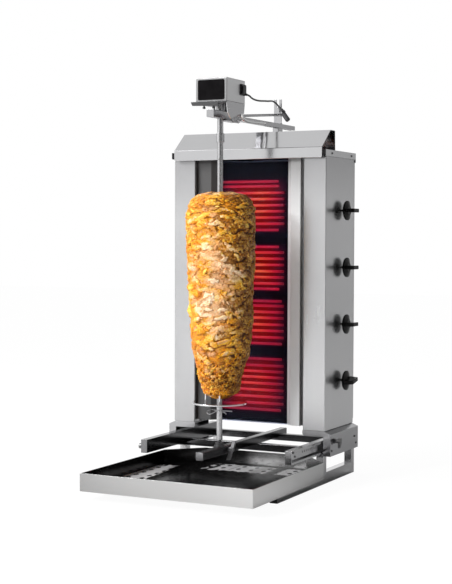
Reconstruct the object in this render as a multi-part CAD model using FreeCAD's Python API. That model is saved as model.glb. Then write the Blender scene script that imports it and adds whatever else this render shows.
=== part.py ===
import FreeCAD, Part
import os
import math
from FreeCAD import Vector as V

# Upright spit grill with four electric heater zones, a motor on top,
# sliding spit carriage and a drip tray.  Millimetres.
# X to the right (knob side), Y to the back, Z up.
# Origin: middle of the front cross-member's underside, on the floor,
# straight below the front plane of the heater body.

# ---------------------------------------------------------------- dimensions
BODY_W = 550.0          # heater body, overall width
BODY_D = 247.0          # heater body, front to back
BODY_Z0 = 176.0         # underside of the columns
BODY_Z1 = 1060.0        # top edge of the columns
COL_IN = 197.6          # half distance between the two front columns
SHEET = 1.5             # sheet thickness of the body

GLASS_HW = 133.0        # half width of the ceramic glass
GLASS_Y = 38.0          # front of the glass
GLASS_T = 4.5
GLASS_Z0, GLASS_Z1 = 184.0, 1056.0
STRIP_Y = 16.0          # front of the flat side strips
STRIP_Z0 = 185.0
STRIP_X0, STRIP_X1 = 145.4, 179.5
BEVEL_X, BEVEL_Y = 126.5, 36.0

# bar heights of the four zones, from the top down, and how far the outer bars stop short
ZONES = [[981.8, 966.5, 944.5, 924.0, 903.5, 883.8, 863.0, 842.6, 822.2],
         [766.5, 748.0, 727.5, 707.0, 686.0, 666.0, 645.5, 627.6],
         [587.4, 571.5, 551.0, 531.5, 509.5, 489.0, 467.0, 446.5],
         [395.0, 373.0, 353.5, 334.0, 313.5, 291.8, 269.5, 247.6, 226.5]]
SHORT = [(21.0, 19.0, 20.0), (19.0, 0.0, 17.0), (8.0, 0.0, 6.0), (6.0, 0.0, 9.0)]  # first, second, last bar
BAR_R = 4.2
BAR_Y = 52.0
BAR_X0, BAR_X1 = -121.0, 105.0

KNOB_Y = 140.0
KNOB_Z = [886.4, 700.2, 513.8, 328.4]
KNOB_R = 32.0
SPINDLE_R = 3.0

SPIT_Y = -205.0         # spit axis
SPIT_R = 9.0
SPIT_Z0, SPIT_Z1 = 147.0, 1138.0
DRIVE_R = 9.6
TENON_R, TENON_Z = 6.0, 1123.6  # thinner end of the spit, inside the drive shaft
SLEEVE_R = 13.0
MEAT_Z0, MEAT_Z1 = 291.0, 938.0
DISC_Z, DISC_R, DISC_T = 272.0, 88.0, 5.5
PRONGS = [math.radians(a) for a in (207.0, 117.0, 297.0)]
PRONG_C = 44.0
CLIP_Z = 250.0

RAIL_XI, RAIL_XO = 243.6, 265.6
RAIL_Y0, RAIL_Y1 = -241.0, 262.0
RAIL_Z0, RAIL_Z1 = 101.4, 144.5
HOUS_XO = 295.0
HOUS_Z0, HOUS_Z1 = 95.0, 165.8
TUBE = 25.0             # frame and arm tubes
ARM_Y0, ARM_Y1 = -341.0, 289.0
ARM_Z0 = 110.0
BAR_F_Y, BAR_R_Y = 33.0, 210.0

BASE_XO = 263.0
BASE_Y0, BASE_Y1 = -338.0, 290.0
BASE_H, BASE_H2 = 27.5, 37.0
POST_F_Y, POST_R_Y = 19.5, 265.0

TRAY_HX = 291.0
TRAY_Y0, TRAY_YM, TRAY_Y1 = -567.0, -44.0, 61.0   # front, start of the slanted corners, rear
TRAY_HN = 186.0         # half width of the rear wall
TRAY_Z0, TRAY_Z1 = 27.8, 82.6
TRAY_T = 1.6
SEAM_X = -39.0

HOOD_HX = 267.0
LID_HX = 278.0
UP_Z0, UP_Z1 = 1169.5, 1192.5   # upper arm tube
MOT_XL, MOT_X = 57.0, 51.5
MOT_Y0, MOT_Y1 = -262.0, -136.0
MOT_Z0, MOT_Z1 = 1218.5, 1291.5

os.makedirs("parts", exist_ok=True)
NODES = {}


# ------------------------------------------------------------------- helpers
def box(x0, x1, y0, y1, z0, z1):
    return Part.makeBox(x1 - x0, y1 - y0, z1 - z0, V(x0, y0, z0))


def cyl(r, p, d, h):
    return Part.makeCylinder(r, h, V(*p), V(*d))


def cone(r0, r1, p, d, h):
    return Part.makeCone(r0, r1, h, V(*p), V(*d))


def fuse(*s):
    out = s[0]
    if len(s) > 1:
        out = s[0].multiFuse(list(s[1:]))
        out = out.removeSplitter()
    return out


def cut(a, *b):
    return a.cut(list(b)) if len(b) > 1 else a.cut(b[0])


def face_of(pts):
    return Part.Face(Part.makePolygon([V(*p) for p in pts] + [V(*pts[0])]))


def prism(pts, d):
    return face_of(pts).extrude(V(*d))


def rounded(s, r, pick):
    es = [e for e in s.Edges if pick(e)]
    return s.makeFillet(r, es) if es else s


def mirror_x(s):
    return s.mirror(V(0, 0, 0), V(1, 0, 0))


def group(*s):
    return Part.makeCompound(list(s))


def is_along(e, axis):
    a, b = e.Vertexes[0].Point, e.Vertexes[-1].Point
    d = b.sub(a)
    return d.Length > 1e-6 and abs(abs(d.dot(V(*axis))) / d.Length - 1) < 1e-6


def sheet_profile(pts, t):
    """Closed outline, in the XY plane, of a folded sheet: the open polyline
    pts, thickened by t to its left."""
    n = len(pts)
    off = []
    for i in range(n):
        if i == 0:
            d = (pts[1][0] - pts[0][0], pts[1][1] - pts[0][1])
            l = math.hypot(*d)
            off.append((pts[0][0] - d[1] / l * t, pts[0][1] + d[0] / l * t))
        elif i == n - 1:
            d = (pts[-1][0] - pts[-2][0], pts[-1][1] - pts[-2][1])
            l = math.hypot(*d)
            off.append((pts[-1][0] - d[1] / l * t, pts[-1][1] + d[0] / l * t))
        else:
            a = (pts[i][0] - pts[i - 1][0], pts[i][1] - pts[i - 1][1])
            b = (pts[i + 1][0] - pts[i][0], pts[i + 1][1] - pts[i][1])
            la, lb = math.hypot(*a), math.hypot(*b)
            na = (-a[1] / la, a[0] / la)
            nb = (-b[1] / lb, b[0] / lb)
            k = t / (1 + na[0] * nb[0] + na[1] * nb[1])
            off.append((pts[i][0] + (na[0] + nb[0]) * k, pts[i][1] + (na[1] + nb[1]) * k))
    return pts + off[::-1]


def tube_path(pts, r, name, share=0.45):
    """Round tube along straight runs joined by tangent arcs.  Prints the
    smallest bend radius and compares the volume with section times length."""
    P = [V(*p) for p in pts]
    edges = []
    cur = P[0]
    length = 0.0
    rmin = 1e9
    for i in range(1, len(P) - 1):
        a = P[i].sub(P[i - 1])
        b = P[i + 1].sub(P[i])
        la, lb = a.Length, b.Length
        a.normalize()
        b.normalize()
        turn = math.acos(max(-1, min(1, a.dot(b))))
        rad = share * min(la, lb) / math.tan(turn / 2)
        tl = share * min(la, lb)
        s = P[i].sub(V(a).multiply(tl))
        e = P[i].add(V(b).multiply(tl))
        bis = b.sub(a)
        bis.normalize()
        c = P[i].add(V(bis).multiply(rad / math.cos(turn / 2)))
        m = c.sub(V(bis).multiply(rad))
        if s.sub(cur).Length > 1e-6:
            edges.append(Part.LineSegment(cur, s).toShape())
            length += s.sub(cur).Length
        edges.append(Part.Arc(s, m, e).toShape())
        length += rad * turn
        cur = e
        rmin = min(rmin, rad)
    edges.append(Part.LineSegment(cur, P[-1]).toShape())
    length += P[-1].sub(cur).Length
    w = Part.Wire(edges)
    d0 = P[1].sub(P[0])
    prof = Part.Wire([Part.Circle(P[0], d0, r).toShape()])
    s = w.makePipeShell([prof], True, False)
    print(name, "length", round(length, 1), "smallest radius", round(rmin, 1),
          "volume ratio", round(s.Volume / (math.pi * r * r * length), 4))
    return s


def node(name, s):
    if s.ShapeType == "Compound" and len(s.Solids) == 1:
        s = s.Solids[0]
    ok = all(x.isValid() and x.Volume > 0 and x.isClosed() for x in s.Solids)
    print(("ok   " if ok else "BAD  ") + name, len(s.Solids), round(s.Volume / 1000, 2), "cm3")
    NODES[name] = s
    s.exportStep("parts/" + name + ".step")


def screw_x(x, y, z, sign, r=3.4, h=2.4, shank=5.0, sr=1.9):
    """Pan-head screw whose head stands on a face that looks along sign X."""
    head = cyl(r, (x, y, z), (sign, 0, 0), h)
    head = rounded(head, 0.9, lambda e: e.Curve.TypeId == "Part::GeomCircle"
                   and abs(e.Vertexes[0].Point.x - (x + sign * h)) < 1e-6)
    rec = fuse(box(x + sign * h - 1.2 if sign > 0 else x + sign * h, x + sign * h if sign > 0 else x + sign * h + 1.2,
                   y - 2.2, y + 2.2, z - 0.45, z + 0.45),
               box(x + sign * h - 1.2 if sign > 0 else x + sign * h, x + sign * h if sign > 0 else x + sign * h + 1.2,
                   y - 0.45, y + 0.45, z - 2.2, z + 2.2))
    body = fuse(head, cyl(sr, (x, y, z), (-sign, 0, 0), shank))
    return body.cut(rec)


# ---------------------------------------------------------------- base frame
def base_frame():
    parts = []
    t = 2.0
    xi = BASE_XO - TUBE
    for s in (-1, 1):
        a, b = sorted((s * xi, s * BASE_XO))
        parts.append(box(a, b, BASE_Y0, BASE_Y1, 0, BASE_H))
        parts.append(box(a, b, 12.5, BASE_Y1, 0, BASE_H2))
        parts.append(box(a, b, POST_F_Y, POST_F_Y + TUBE, BASE_H, HOUS_Z0))
        parts.append(box(a, b, POST_R_Y, POST_R_Y + TUBE, BASE_H2, HOUS_Z0))
    parts.append(box(-xi, xi, -12.5, 12.5, 0, BASE_H))
    f = fuse(*parts)
    # open tube ends at the front
    for s in (-1, 1):
        a, b = sorted((s * (xi + t), s * (BASE_XO - t)))
        f = f.cut(box(a, b, BASE_Y0 - 1, BASE_Y0 + 14, t, BASE_H - t))
    return f


node("base_frame", base_frame())

caps = []
for s in (-1, 1):
    a, b = sorted((s * (BASE_XO - TUBE + 2.0), s * (BASE_XO - 2.0)))
    plug = box(a, b, BASE_Y0, BASE_Y0 + 12, 2.0, BASE_H - 2.0)
    plate = box(a - 1.6, b + 1.6, BASE_Y0 - 2.4, BASE_Y0, 0.4, BASE_H - 0.4)
    caps.append(fuse(plug, plate))
node("frame_end_caps", group(*caps))


# ------------------------------------------- rail housings below the columns
def housing_right():
    xo, xi = HOUS_XO, 238.0
    y0, y1 = 0.0, 243.0
    t = 2.0
    slope = BODY_Z0 - 1.0
    outer = prism([(xo, y0, HOUS_Z0), (xo, y0, HOUS_Z1), (BODY_W / 2 - 2, y0, slope),
                   (BODY_W / 2 - 2 - 2.5, y0, slope), (xo - t, y0, HOUS_Z1 - 1.0), (xo - t, y0, HOUS_Z0)],
                  (0, y1 - y0, 0))
    floor = box(xi, xo, y0, POST_R_Y + TUBE, HOUS_Z0, HOUS_Z0 + t)
    floor = floor.cut(box(xo - 20, xo + 1, y1, POST_R_Y + TUBE + 1, HOUS_Z0 - 1, HOUS_Z0 + t + 1))
    # front flange: outer part in front of the channel, and the band below the column
    flange = box(269.5, xo, y0, y0 + t, HOUS_Z0, HOUS_Z1)
    corner = prism([(xo - t, y0, HOUS_Z1), (xo, y0, HOUS_Z1), (BODY_W / 2 - 2, y0, slope),
                    (269.5, y0, slope), (269.5, y0, HOUS_Z1 - 20)], (0, t, 0))
    band = box(196.8, 272.0, y0, y0 + t, 157.0, slope)
    band = rounded(band, 9.0, lambda e: is_along(e, (0, 1, 0)) and abs(e.Vertexes[0].Point.x - 196.8) < 1e-6
                   and e.Vertexes[0].Point.z < 160)
    top = box(196.8, 273.0, y0, y1, slope - t, slope)
    rear = box(270.0, xo, y1 - t, y1, HOUS_Z0, HOUS_Z1 - 1)
    h = fuse(outer, floor, flange, corner, band, top, rear)
    h = h.cut(box(xo, xo + 5, y0 - 1, y1 + 1, 0, 300))
    # bore of the clamp screw
    h = h.cut(cyl(5.0, (xo - 10, 30.0, 142.4), (1, 0, 0), 20))
    for y, z in ((16.0, 136.0), (12.5, 112.5), (212.0, 135.5), (226.0, 111.5)):
        h = h.cut(cyl(2.0, (xo - 10, y, z), (1, 0, 0), 20))
    return h


HR = housing_right()
node("rail_housing_right", HR)
HL = mirror_x(HR)
HL = fuse(HL, cyl(5.0, (-HOUS_XO, 30.0, 142.4), (1, 0, 0), 2.0))
node("rail_housing_left", HL)

screws = []
for y, z in ((16.0, 136.0), (12.5, 112.5), (212.0, 135.5), (226.0, 111.5)):
    screws.append(screw_x(HOUS_XO, y, z, 1))
    screws.append(screw_x(-HOUS_XO, y, z, -1))


# ------------------------------------------------------------ heater columns
def column_right():
    o = BODY_W / 2
    prof = sheet_profile([(COL_IN, 34.0), (COL_IN, 0.0), (o, 0.0), (o, BODY_D), (o - 22.0, BODY_D)], SHEET)
    s = prism([(x, y, BODY_Z0) for x, y in prof], (0, 0, BODY_Z1 - BODY_Z0))
    s = rounded(s, 2.2, lambda e: is_along(e, (0, 0, 1)) and
                (abs(e.Vertexes[0].Point.x - o) < 1e-6 or abs(e.Vertexes[0].Point.x - COL_IN) < 1e-6)
                and (e.Vertexes[0].Point.y < 1e-6 or abs(e.Vertexes[0].Point.y - BODY_D) < 1e-6))
    floor = box(COL_IN + SHEET, o - SHEET, SHEET, BODY_D - SHEET, BODY_Z0, BODY_Z0 + SHEET)
    return fuse(s, floor)


CR = column_right()
CL = mirror_x(CR)
for z in KNOB_Z:
    CR = CR.cut(cyl(5.2, (BODY_W / 2 - 6, KNOB_Y, z), (1, 0, 0), 10))
node("column_right", CR)
node("column_left", CL)

bp = box(-BODY_W / 2, BODY_W / 2, BODY_D, BODY_D + SHEET, 190.0, BODY_Z1)
for z in range(330, 960, 30):
    for x in (-90, 90):
        bp = bp.cut(box(x - 55, x + 55, BODY_D - 1, BODY_D + 5, z, z + 5))
bp = bp.cut(cyl(8.0, (200.0, BODY_D - 5, 234.0), (0, 1, 0), 20))
node("back_panel", bp)


# --------------------------------------------- side strips beside the glass
def strip_right():
    prof = sheet_profile([(STRIP_X1 + 12, 32.0), (STRIP_X1, 32.0), (STRIP_X1, STRIP_Y), (STRIP_X0, STRIP_Y),
                          (BEVEL_X, BEVEL_Y)][::-1], 1.2)
    prof = [(x, y) for x, y in prof]
    s = prism([(x, y, STRIP_Z0) for x, y in prof], (0, 0, 1056.0 - STRIP_Z0))
    return s


SR = strip_right()
if SR.BoundBox.YMin < STRIP_Y - 0.5:
    prof = sheet_profile([(STRIP_X1 + 12, 32.0), (STRIP_X1, 32.0), (STRIP_X1, STRIP_Y), (STRIP_X0, STRIP_Y),
                          (BEVEL_X, BEVEL_Y)], 1.2)
    SR = prism([(x, y, STRIP_Z0) for x, y in prof], (0, 0, 1056.0 - STRIP_Z0))
node("glass_strip_right", SR)
# the left strip is wider and turns forward along the column
prof = sheet_profile([(-COL_IN + 1.0, 1.5), (-COL_IN + 1.0, STRIP_Y), (-STRIP_X0, STRIP_Y), (-BEVEL_X, BEVEL_Y)], 1.2)
SL = prism([(x, y, STRIP_Z0) for x, y in prof], (0, 0, 1056.0 - STRIP_Z0))
if SL.common(CL).Volume > 1e-6 or SL.BoundBox.YMin < 1.4:
    prof = sheet_profile([(-COL_IN + 1.0, 1.5), (-COL_IN + 1.0, STRIP_Y), (-STRIP_X0, STRIP_Y),
                          (-BEVEL_X, BEVEL_Y)], -1.2)
    SL = prism([(x, y, STRIP_Z0) for x, y in prof], (0, 0, 1056.0 - STRIP_Z0))
node("glass_strip_left", SL)

gl = box(-GLASS_HW, GLASS_HW, GLASS_Y, GLASS_Y + GLASS_T, GLASS_Z0, GLASS_Z1)
gl = rounded(gl, 1.0, lambda e: is_along(e, (1, 0, 0)) or is_along(e, (0, 0, 1)))
node("ceramic_glass", gl)


# ----------------------------------------------------------- heating inside
def bar_end(zone, k):
    first, second, last = SHORT[zone]
    n = len(ZONES[zone])
    return BAR_X1 - (first if k == 0 else second if k == 1 else last if k == n - 1 else 0.0)


def heater(zone):
    out = []
    for k, z in enumerate(ZONES[zone]):
        x1 = bar_end(zone, k)
        b = cyl(BAR_R, (BAR_X0, BAR_Y, z), (1, 0, 0), x1 - BAR_X0)
        b = rounded(b, 1.2, lambda e: e.Curve.TypeId == "Part::GeomCircle")
        st = [cyl(1.6, (x, BAR_Y, z), (0, 1, 0), 8.0) for x in (BAR_X0 + 8, x1 - 8)]
        out.append(fuse(b, *st))
    return group(*out)


for i in range(4):
    node("heater_zone_%d" % (i + 1), heater(i))

board = box(-126.0, 126.0, 57.0, 80.0, 189.0, 1046.0)
for i in range(4):
    for k, z in enumerate(ZONES[i]):
        for x in (BAR_X0 + 8, bar_end(i, k) - 8):
            board = board.cut(cyl(1.6, (x, 50.0, z), (0, 1, 0), 10.0))
node("insulation_board", board)


def heater_pan():
    a = box(-130.0, 130.0, 46.0, 84.0, 185.0, 1050.0)
    a = a.cut(box(-128.8, 128.8, 40.0, 82.8, 186.2, 1048.8))
    fl = [box(129.0, 192.0, 46.0, 47.2, 185.0, 1050.0), box(-192.0, -129.0, 46.0, 47.2, 185.0, 1050.0)]
    br = []
    for z in (300.0, 620.0, 980.0):
        br.append(box(-200.0, 200.0, 84.0, 86.0, z, z + 30))
        for s in (-1, 1):
            x0, x1 = sorted((s * 200.0, s * 198.0))
            br.append(box(x0, x1, 84.0, BODY_D, z, z + 30))
            x0, x1 = sorted((s * 200.0, s * 225.0))
            br.append(box(x0, x1, BODY_D - 2, BODY_D, z, z + 30))
    return fuse(a, *(fl + br))


node("heater_pan", heater_pan())

# energy regulators behind the knobs, with the bore of the knob spindle
for i, z in enumerate(KNOB_Z):
    b = box(238.0, 271.0, KNOB_Y - 17, KNOB_Y + 17, z - 19, z + 19)
    b = rounded(b, 1.5, lambda e: is_along(e, (1, 0, 0)))
    b = fuse(b, cyl(5.0, (271.0, KNOB_Y, z), (1, 0, 0), 2.5),
             box(226.0, 238.0, KNOB_Y - 10, KNOB_Y - 9, z - 6, z + 6),
             box(226.0, 238.0, KNOB_Y + 9, KNOB_Y + 10, z - 6, z + 6))
    b = b.cut(cyl(SPINDLE_R + 0.06, (252.0, KNOB_Y, z), (1, 0, 0), 30))
    node("regulator_%d" % (i + 1), b)


def knob(z, turn):
    pts = [(288.0, 0), (288.0, 30.0), (290.0, KNOB_R), (294.5, KNOB_R), (300.5, 15.0), (300.5, 0)]
    w = face_of([(x, 0, r) for x, r in pts])
    disc = w.revolve(V(0, 0, 0), V(1, 0, 0), 360)
    blade = prism([(296.0, -29.0, 0), (296.0, 29.0, 0), (302.0, 29.0, 0), (324.0, 24.0, 0),
                   (325.5, 20.0, 0), (325.5, -20.0, 0), (324.0, -24.0, 0), (302.0, -29.0, 0)], (0, 0, 12.5))
    blade.translate(V(0, 0, -6.25))
    blade = rounded(blade, 2.0, lambda e: e.Vertexes[0].Point.x > 301 and e.Vertexes[-1].Point.x > 301
                    and not is_along(e, (0, 0, 1)))
    hub = cyl(11.0, (282.0, 0, 0), (1, 0, 0), 8.0)
    k = fuse(disc, blade, hub)
    # D-shaped hole for the spindle
    hole = cyl(SPINDLE_R, (280.0, 0, 0), (1, 0, 0), 16.0).common(box(279, 297, -5, 5, -5, 1.6))
    k = k.cut(hole)
    k.rotate(V(0, 0, 0), V(1, 0, 0), turn)
    k.translate(V(0, KNOB_Y, z))
    sp = cyl(SPINDLE_R, (253.0, 0, 0), (1, 0, 0), 43.0)
    sp = sp.cut(box(280, 300, -5, 5, 1.6, 6))
    sp.rotate(V(0, 0, 0), V(1, 0, 0), turn)
    sp.translate(V(0, KNOB_Y, z))
    return k, sp


KNOB_TURN = [0.0, 0.0, 0.0, 11.0]
for i, z in enumerate(KNOB_Z):
    k, sp = knob(z, KNOB_TURN[i])
    node("knob_%d" % (i + 1), group(k, sp))     # the knob and the spindle pressed into it

tb = box(-240.0, -180.0, 215.0, 240.0, 230.0, 262.0)
for k in range(5):
    tb = tb.cut(cyl(3.0, (-234.0 + 12 * k, 227.0, 255.0), (0, 0, 1), 10))
    tb = tb.cut(box(-236.5 + 12 * k, -231.5 + 12 * k, 210.0, 222.0, 234.0, 244.0))
tb = fuse(tb, box(-240.0, -180.0, 240.0, BODY_D, 240.0, 250.0))
node("terminal_block", tb)

# cable gland in the back panel, open for a mains lead
gland = fuse(cyl(7.9, (200.0, BODY_D - 8.0, 234.0), (0, 1, 0), 12.0),
             Part.makeCylinder(12.0, 5.0, V(200.0, BODY_D + SHEET, 234.0), V(0, 1, 0)),
             Part.makeCone(11.0, 8.5, 14.0, V(200.0, BODY_D + SHEET + 5.0, 234.0), V(0, 1, 0)))
gland = fuse(gland, Part.makeCylinder(11.0, 4.0, V(200.0, BODY_D - 4.0, 234.0), V(0, 1, 0)))
gland = gland.cut(cyl(5.0, (200.0, BODY_D - 10.0, 234.0), (0, 1, 0), 40.0))
node("cable_gland", gland)


# ------------------------------------------------------------- lid and hood
def top_cover():
    t = 1.5
    top = box(-LID_HX, LID_HX, 96.0, BODY_D + 2.0, 1077.5, 1079.0)
    front = box(-LID_HX, LID_HX, 2.0, 96.0, BODY_Z1 + 0.3, BODY_Z1 + 1.8)
    front = front.cut(box(-190.0, 190.0, -5.0, 40.0, 1050.0, 1070.0))
    step = box(-LID_HX, LID_HX, 94.5, 96.0, BODY_Z1 + 0.3, 1079.0)
    sides = []
    for s in (-1, 1):
        a, b = sorted((s * (LID_HX - t), s * LID_HX))
        f = box(a, b, -15.0, BODY_D + 2.0, 1058.0, 1079.0)
        f = rounded(f, 5.0, lambda e: is_along(e, (1, 0, 0)) and e.Vertexes[0].Point.y < -14
                    and e.Vertexes[0].Point.z < 1060)
        sides.append(f)
        # front turned-in lip
        a, b = sorted((s * (LID_HX - 9.0), s * LID_HX))
        sides.append(box(a, b, -15.0, -13.5, 1063.0, 1079.0))
    back = box(-LID_HX, LID_HX, BODY_D + 1.6, BODY_D + 3.1, 1048.0, 1079.0)
    c = fuse(top, front, step, back, *sides)
    for y in (42.0, 211.0):
        c = c.cut(cyl(1.9, (-LID_HX - 5, y, 1068.0), (1, 0, 0), 2 * LID_HX + 10))
    return c


node("top_cover", top_cover())


def hood():
    t = 1.5
    # profile in the YZ plane, from the lower front edge over the top to the back
    pts = [(-12.0, 1052.0), (-19.0, 1052.0), (-19.0, 1086.0), (52.6, 1144.5), (92.0, 1144.5), (94.3, 1079.0)]
    prof = sheet_profile(pts, -t)
    s = prism([(-HOOD_HX, y, z) for y, z in prof], (2 * HOOD_HX, 0, 0))
    s = rounded(s, 1.8, lambda e: is_along(e, (1, 0, 0)) and
                (abs(e.Vertexes[0].Point.z - 1086.0) < 1e-6 or abs(e.Vertexes[0].Point.z - 1144.5) < 1e-6
                 or (abs(e.Vertexes[0].Point.z - 1052.0) < 1e-6 and abs(e.Vertexes[0].Point.y + 19.0) < 1e-6)))
    # rounded lower corners of the front face
    for sgn in (-1, 1):
        k = box(sgn * HOOD_HX - 6 if sgn > 0 else -HOOD_HX, sgn * HOOD_HX if sgn > 0 else -HOOD_HX + 6,
                -25.0, -11.0, 1051.0, 1058.0)
        c = cyl(6.0, (sgn * (HOOD_HX - 6.0), -26.0, 1058.0), (0, 1, 0), 16.0)
        s = s.cut(k.cut(c))
    return s


node("hood", hood())

for y in (42.0, 211.0):
    screws.append(screw_x(LID_HX, y, 1068.0, 1, shank=2.5))
    screws.append(screw_x(-LID_HX, y, 1068.0, -1, shank=2.5))
node("body_screws", group(*screws))


# guide block of the upper arm, standing on the lid behind the hood
def arm_guide():
    g = box(-11.0, 11.0, 211.0, 246.0, 1079.3, UP_Z0 + 1.2)
    g = rounded(g, 1.5, lambda e: is_along(e, (0, 0, 1)))
    g = fuse(g, box(-45.0, 45.0, 150.0, 246.0, 1079.3, 1083.3),
             prism([(-3.0, 160.0, 1083.0), (-3.0, 211.5, 1083.0), (-3.0, 211.5, 1140.0)], (6.0, 0, 0)),
             box(-3.0, 3.0, 212.0, 245.0, UP_Z0, UP_Z0 + 4.0),
             box(-7.0, 7.0, 212.0, 245.0, UP_Z0 + 3.8, UP_Z0 + 9.6))
    return g


node("arm_guide", arm_guide())


# -------------------------------------------------- lower, sliding carriage
def rail_right():
    a = box(RAIL_XI, RAIL_XO, RAIL_Y0, RAIL_Y1, RAIL_Z0, RAIL_Z1)
    # channel open to the outside, with a stepped web
    a = a.cut(box(RAIL_XI + 2.0, RAIL_XO + 1, RAIL_Y0 + 3.0, RAIL_Y1 + 1, RAIL_Z0 + 2.0, RAIL_Z1 - 2.0))
    a = fuse(a, box(RAIL_XO - 2.0, RAIL_XO, RAIL_Y0 + 3.0, RAIL_Y1, RAIL_Z0, RAIL_Z0 + 7.0),
             box(RAIL_XO - 2.0, RAIL_XO, RAIL_Y0 + 3.0, RAIL_Y1, RAIL_Z1 - 7.0, RAIL_Z1))
    web = box(RAIL_XO - 9.0, RAIL_XO - 7.0, RAIL_Y0 + 3.0, RAIL_Y1, RAIL_Z0 + 12.0, RAIL_Z1 - 7.0)
    shelf = box(RAIL_XI, RAIL_XO - 7.0, RAIL_Y0 + 3.0, RAIL_Y1, RAIL_Z0 + 12.0, RAIL_Z0 + 14.0)
    up = box(RAIL_XO - 9.0, RAIL_XO, RAIL_Y0 + 3.0, RAIL_Y1, RAIL_Z1 - 9.0, RAIL_Z1 - 7.0)
    a = fuse(a, web, shelf, up)
    for k in range(11):
        y = -140.0 + 15.2 * k
        a = a.cut(box(RAIL_XO - 12.0, RAIL_XO - 5.0, y - 2.2, y + 2.2, 126.0, 132.5))
    a = a.cut(cyl(1.9, (RAIL_XO - 12.0, -199.0, 122.0), (1, 0, 0), 10.0))
    return a


RR = rail_right()
node("slide_rail_right", RR)
node("slide_rail_left", mirror_x(RR))

rs = []
for sgn in (-1, 1):
    rs.append(screw_x(sgn * (RAIL_XO - 7.0), -199.0, 122.0, sgn, shank=1.9))
    # stop pin beside the left and right rail front ends
    rs.append(fuse(cyl(6.5, (sgn * RAIL_XO, -228.0, 121.0), (sgn, 0, 0), 3.0),
                   cyl(8.5, (sgn * (RAIL_XO + 3.0), -228.0, 121.0), (sgn, 0, 0), 9.0)) if sgn < 0 else
              cyl(4.0, (sgn * RAIL_XO, -228.0, 138.0), (sgn, 0, 0), 2.0))
node("rail_bolts", group(*rs))


def cross_bar(y0, z0, z1, d=TUBE):
    a = box(-RAIL_XI, RAIL_XI, y0, y0 + d, z0, z1)
    a = rounded(a, 2.0, lambda e: is_along(e, (1, 0, 0)))
    return a.cut(box(-TUBE / 2, TUBE / 2, y0 - 1, y0 + d + 1, ARM_Z0, z1 + 5))


bf = cross_bar(BAR_F_Y, 90.5, 114.5)
for s in (-1, 1):
    a, b = sorted((s * 236.5, s * (RAIL_XI + 1)))
    bf = bf.cut(box(a, b, BAR_F_Y - 1, BAR_F_Y + TUBE + 1, 80.0, 99.0))
node("cross_bar_front", bf)
node("cross_bar_rear", cross_bar(BAR_R_Y, 101.4, 123.8))


def centre_arm():
    z0, z1 = ARM_Z0, ARM_Z0 + TUBE
    a = box(-TUBE / 2, TUBE / 2, ARM_Y0, ARM_Y1, z0, z1)
    a = rounded(a, 2.0, lambda e: is_along(e, (0, 1, 0)))
    a = a.cut(cyl(9.0, (0, SPIT_Y, z0 + 5), (0, 0, 1), 30))
    a = a.cut(cyl(2.55, (0, -165.0, z0 + TUBE / 2), (1, 0, 0), 20))
    return a


node("centre_arm", centre_arm())

# lower bearing cup in the centre arm, with a ball under the spit's tip
cup = fuse(cyl(8.9, (0, SPIT_Y, ARM_Z0 + 5.0), (0, 0, 1), 20.0),
           cyl(17.0, (0, SPIT_Y, ARM_Z0 + TUBE), (0, 0, 1), 5.0),
           cyl(13.0, (0, SPIT_Y, ARM_Z0 + TUBE + 5.0), (0, 0, 1), 9.0))
cup = cup.cut(cone(6.0, 11.5, (0, SPIT_Y, 139.3), (0, 0, 1), 10.0))
node("bearing_cup", cup)

# locking lever on the right side of the centre arm
LV = (-165.0, ARM_Z0 + TUBE / 2)


def lock_lever():
    pts = [(-139.0, 146.0), (-149.0, 146.0), (-194.0, 92.0), (-184.0, 92.0)]
    s = prism([(18.6, y, z) for y, z in pts], (10.4, 0, 0))
    s = rounded(s, 2.0, lambda e: is_along(e, (1, 0, 0)))
    s = fuse(s, cyl(2.5, (3.0, LV[0], LV[1]), (1, 0, 0), 14.0), cyl(7.0, (12.9, LV[0], LV[1]), (1, 0, 0), 17.4))
    return s


node("lock_lever", lock_lever())


# clamp screw with a wing, in the side of the right rail housing
def clamp_screw():
    y, z = 30.0, 142.4
    s = fuse(cyl(4.95, (268.5, y, z), (1, 0, 0), 36.0),
             cyl(8.0, (HOUS_XO + 1.0, y, z), (1, 0, 0), 3.5),
             cyl(6.0, (304.5, y, z), (1, 0, 0), 12.0))
    wing = prism([(309.0, y - 4.0, z - 22.0), (317.0, y - 4.0, z - 22.0), (322.0, y - 4.0, z - 4.0),
                  (322.0, y - 4.0, z + 11.0), (309.0, y - 4.0, z + 11.0)], (0, 8.0, 0))
    wing = rounded(wing, 2.5, lambda e: True)
    return fuse(s, wing)


node("clamp_screw", clamp_screw())


# ------------------------------------------------------------------ drip tray
def tray_outline(o, z):
    """Plan of the tray, moved in by o: both rear corners are cut off at 45 degrees."""
    k = o * (math.sqrt(2.0) - 1.0)
    x, n, y0, ym, y1 = TRAY_HX - o, TRAY_HN - k, TRAY_Y0 + o, TRAY_YM - k, TRAY_Y1 - o
    return [(-x, y0, z), (x, y0, z), (x, ym, z), (n, y1, z), (-n, y1, z), (-x, ym, z)]


def tray_block(o, z0, z1):
    return prism(tray_outline(o, z0), (0, 0, z1 - z0))


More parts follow.
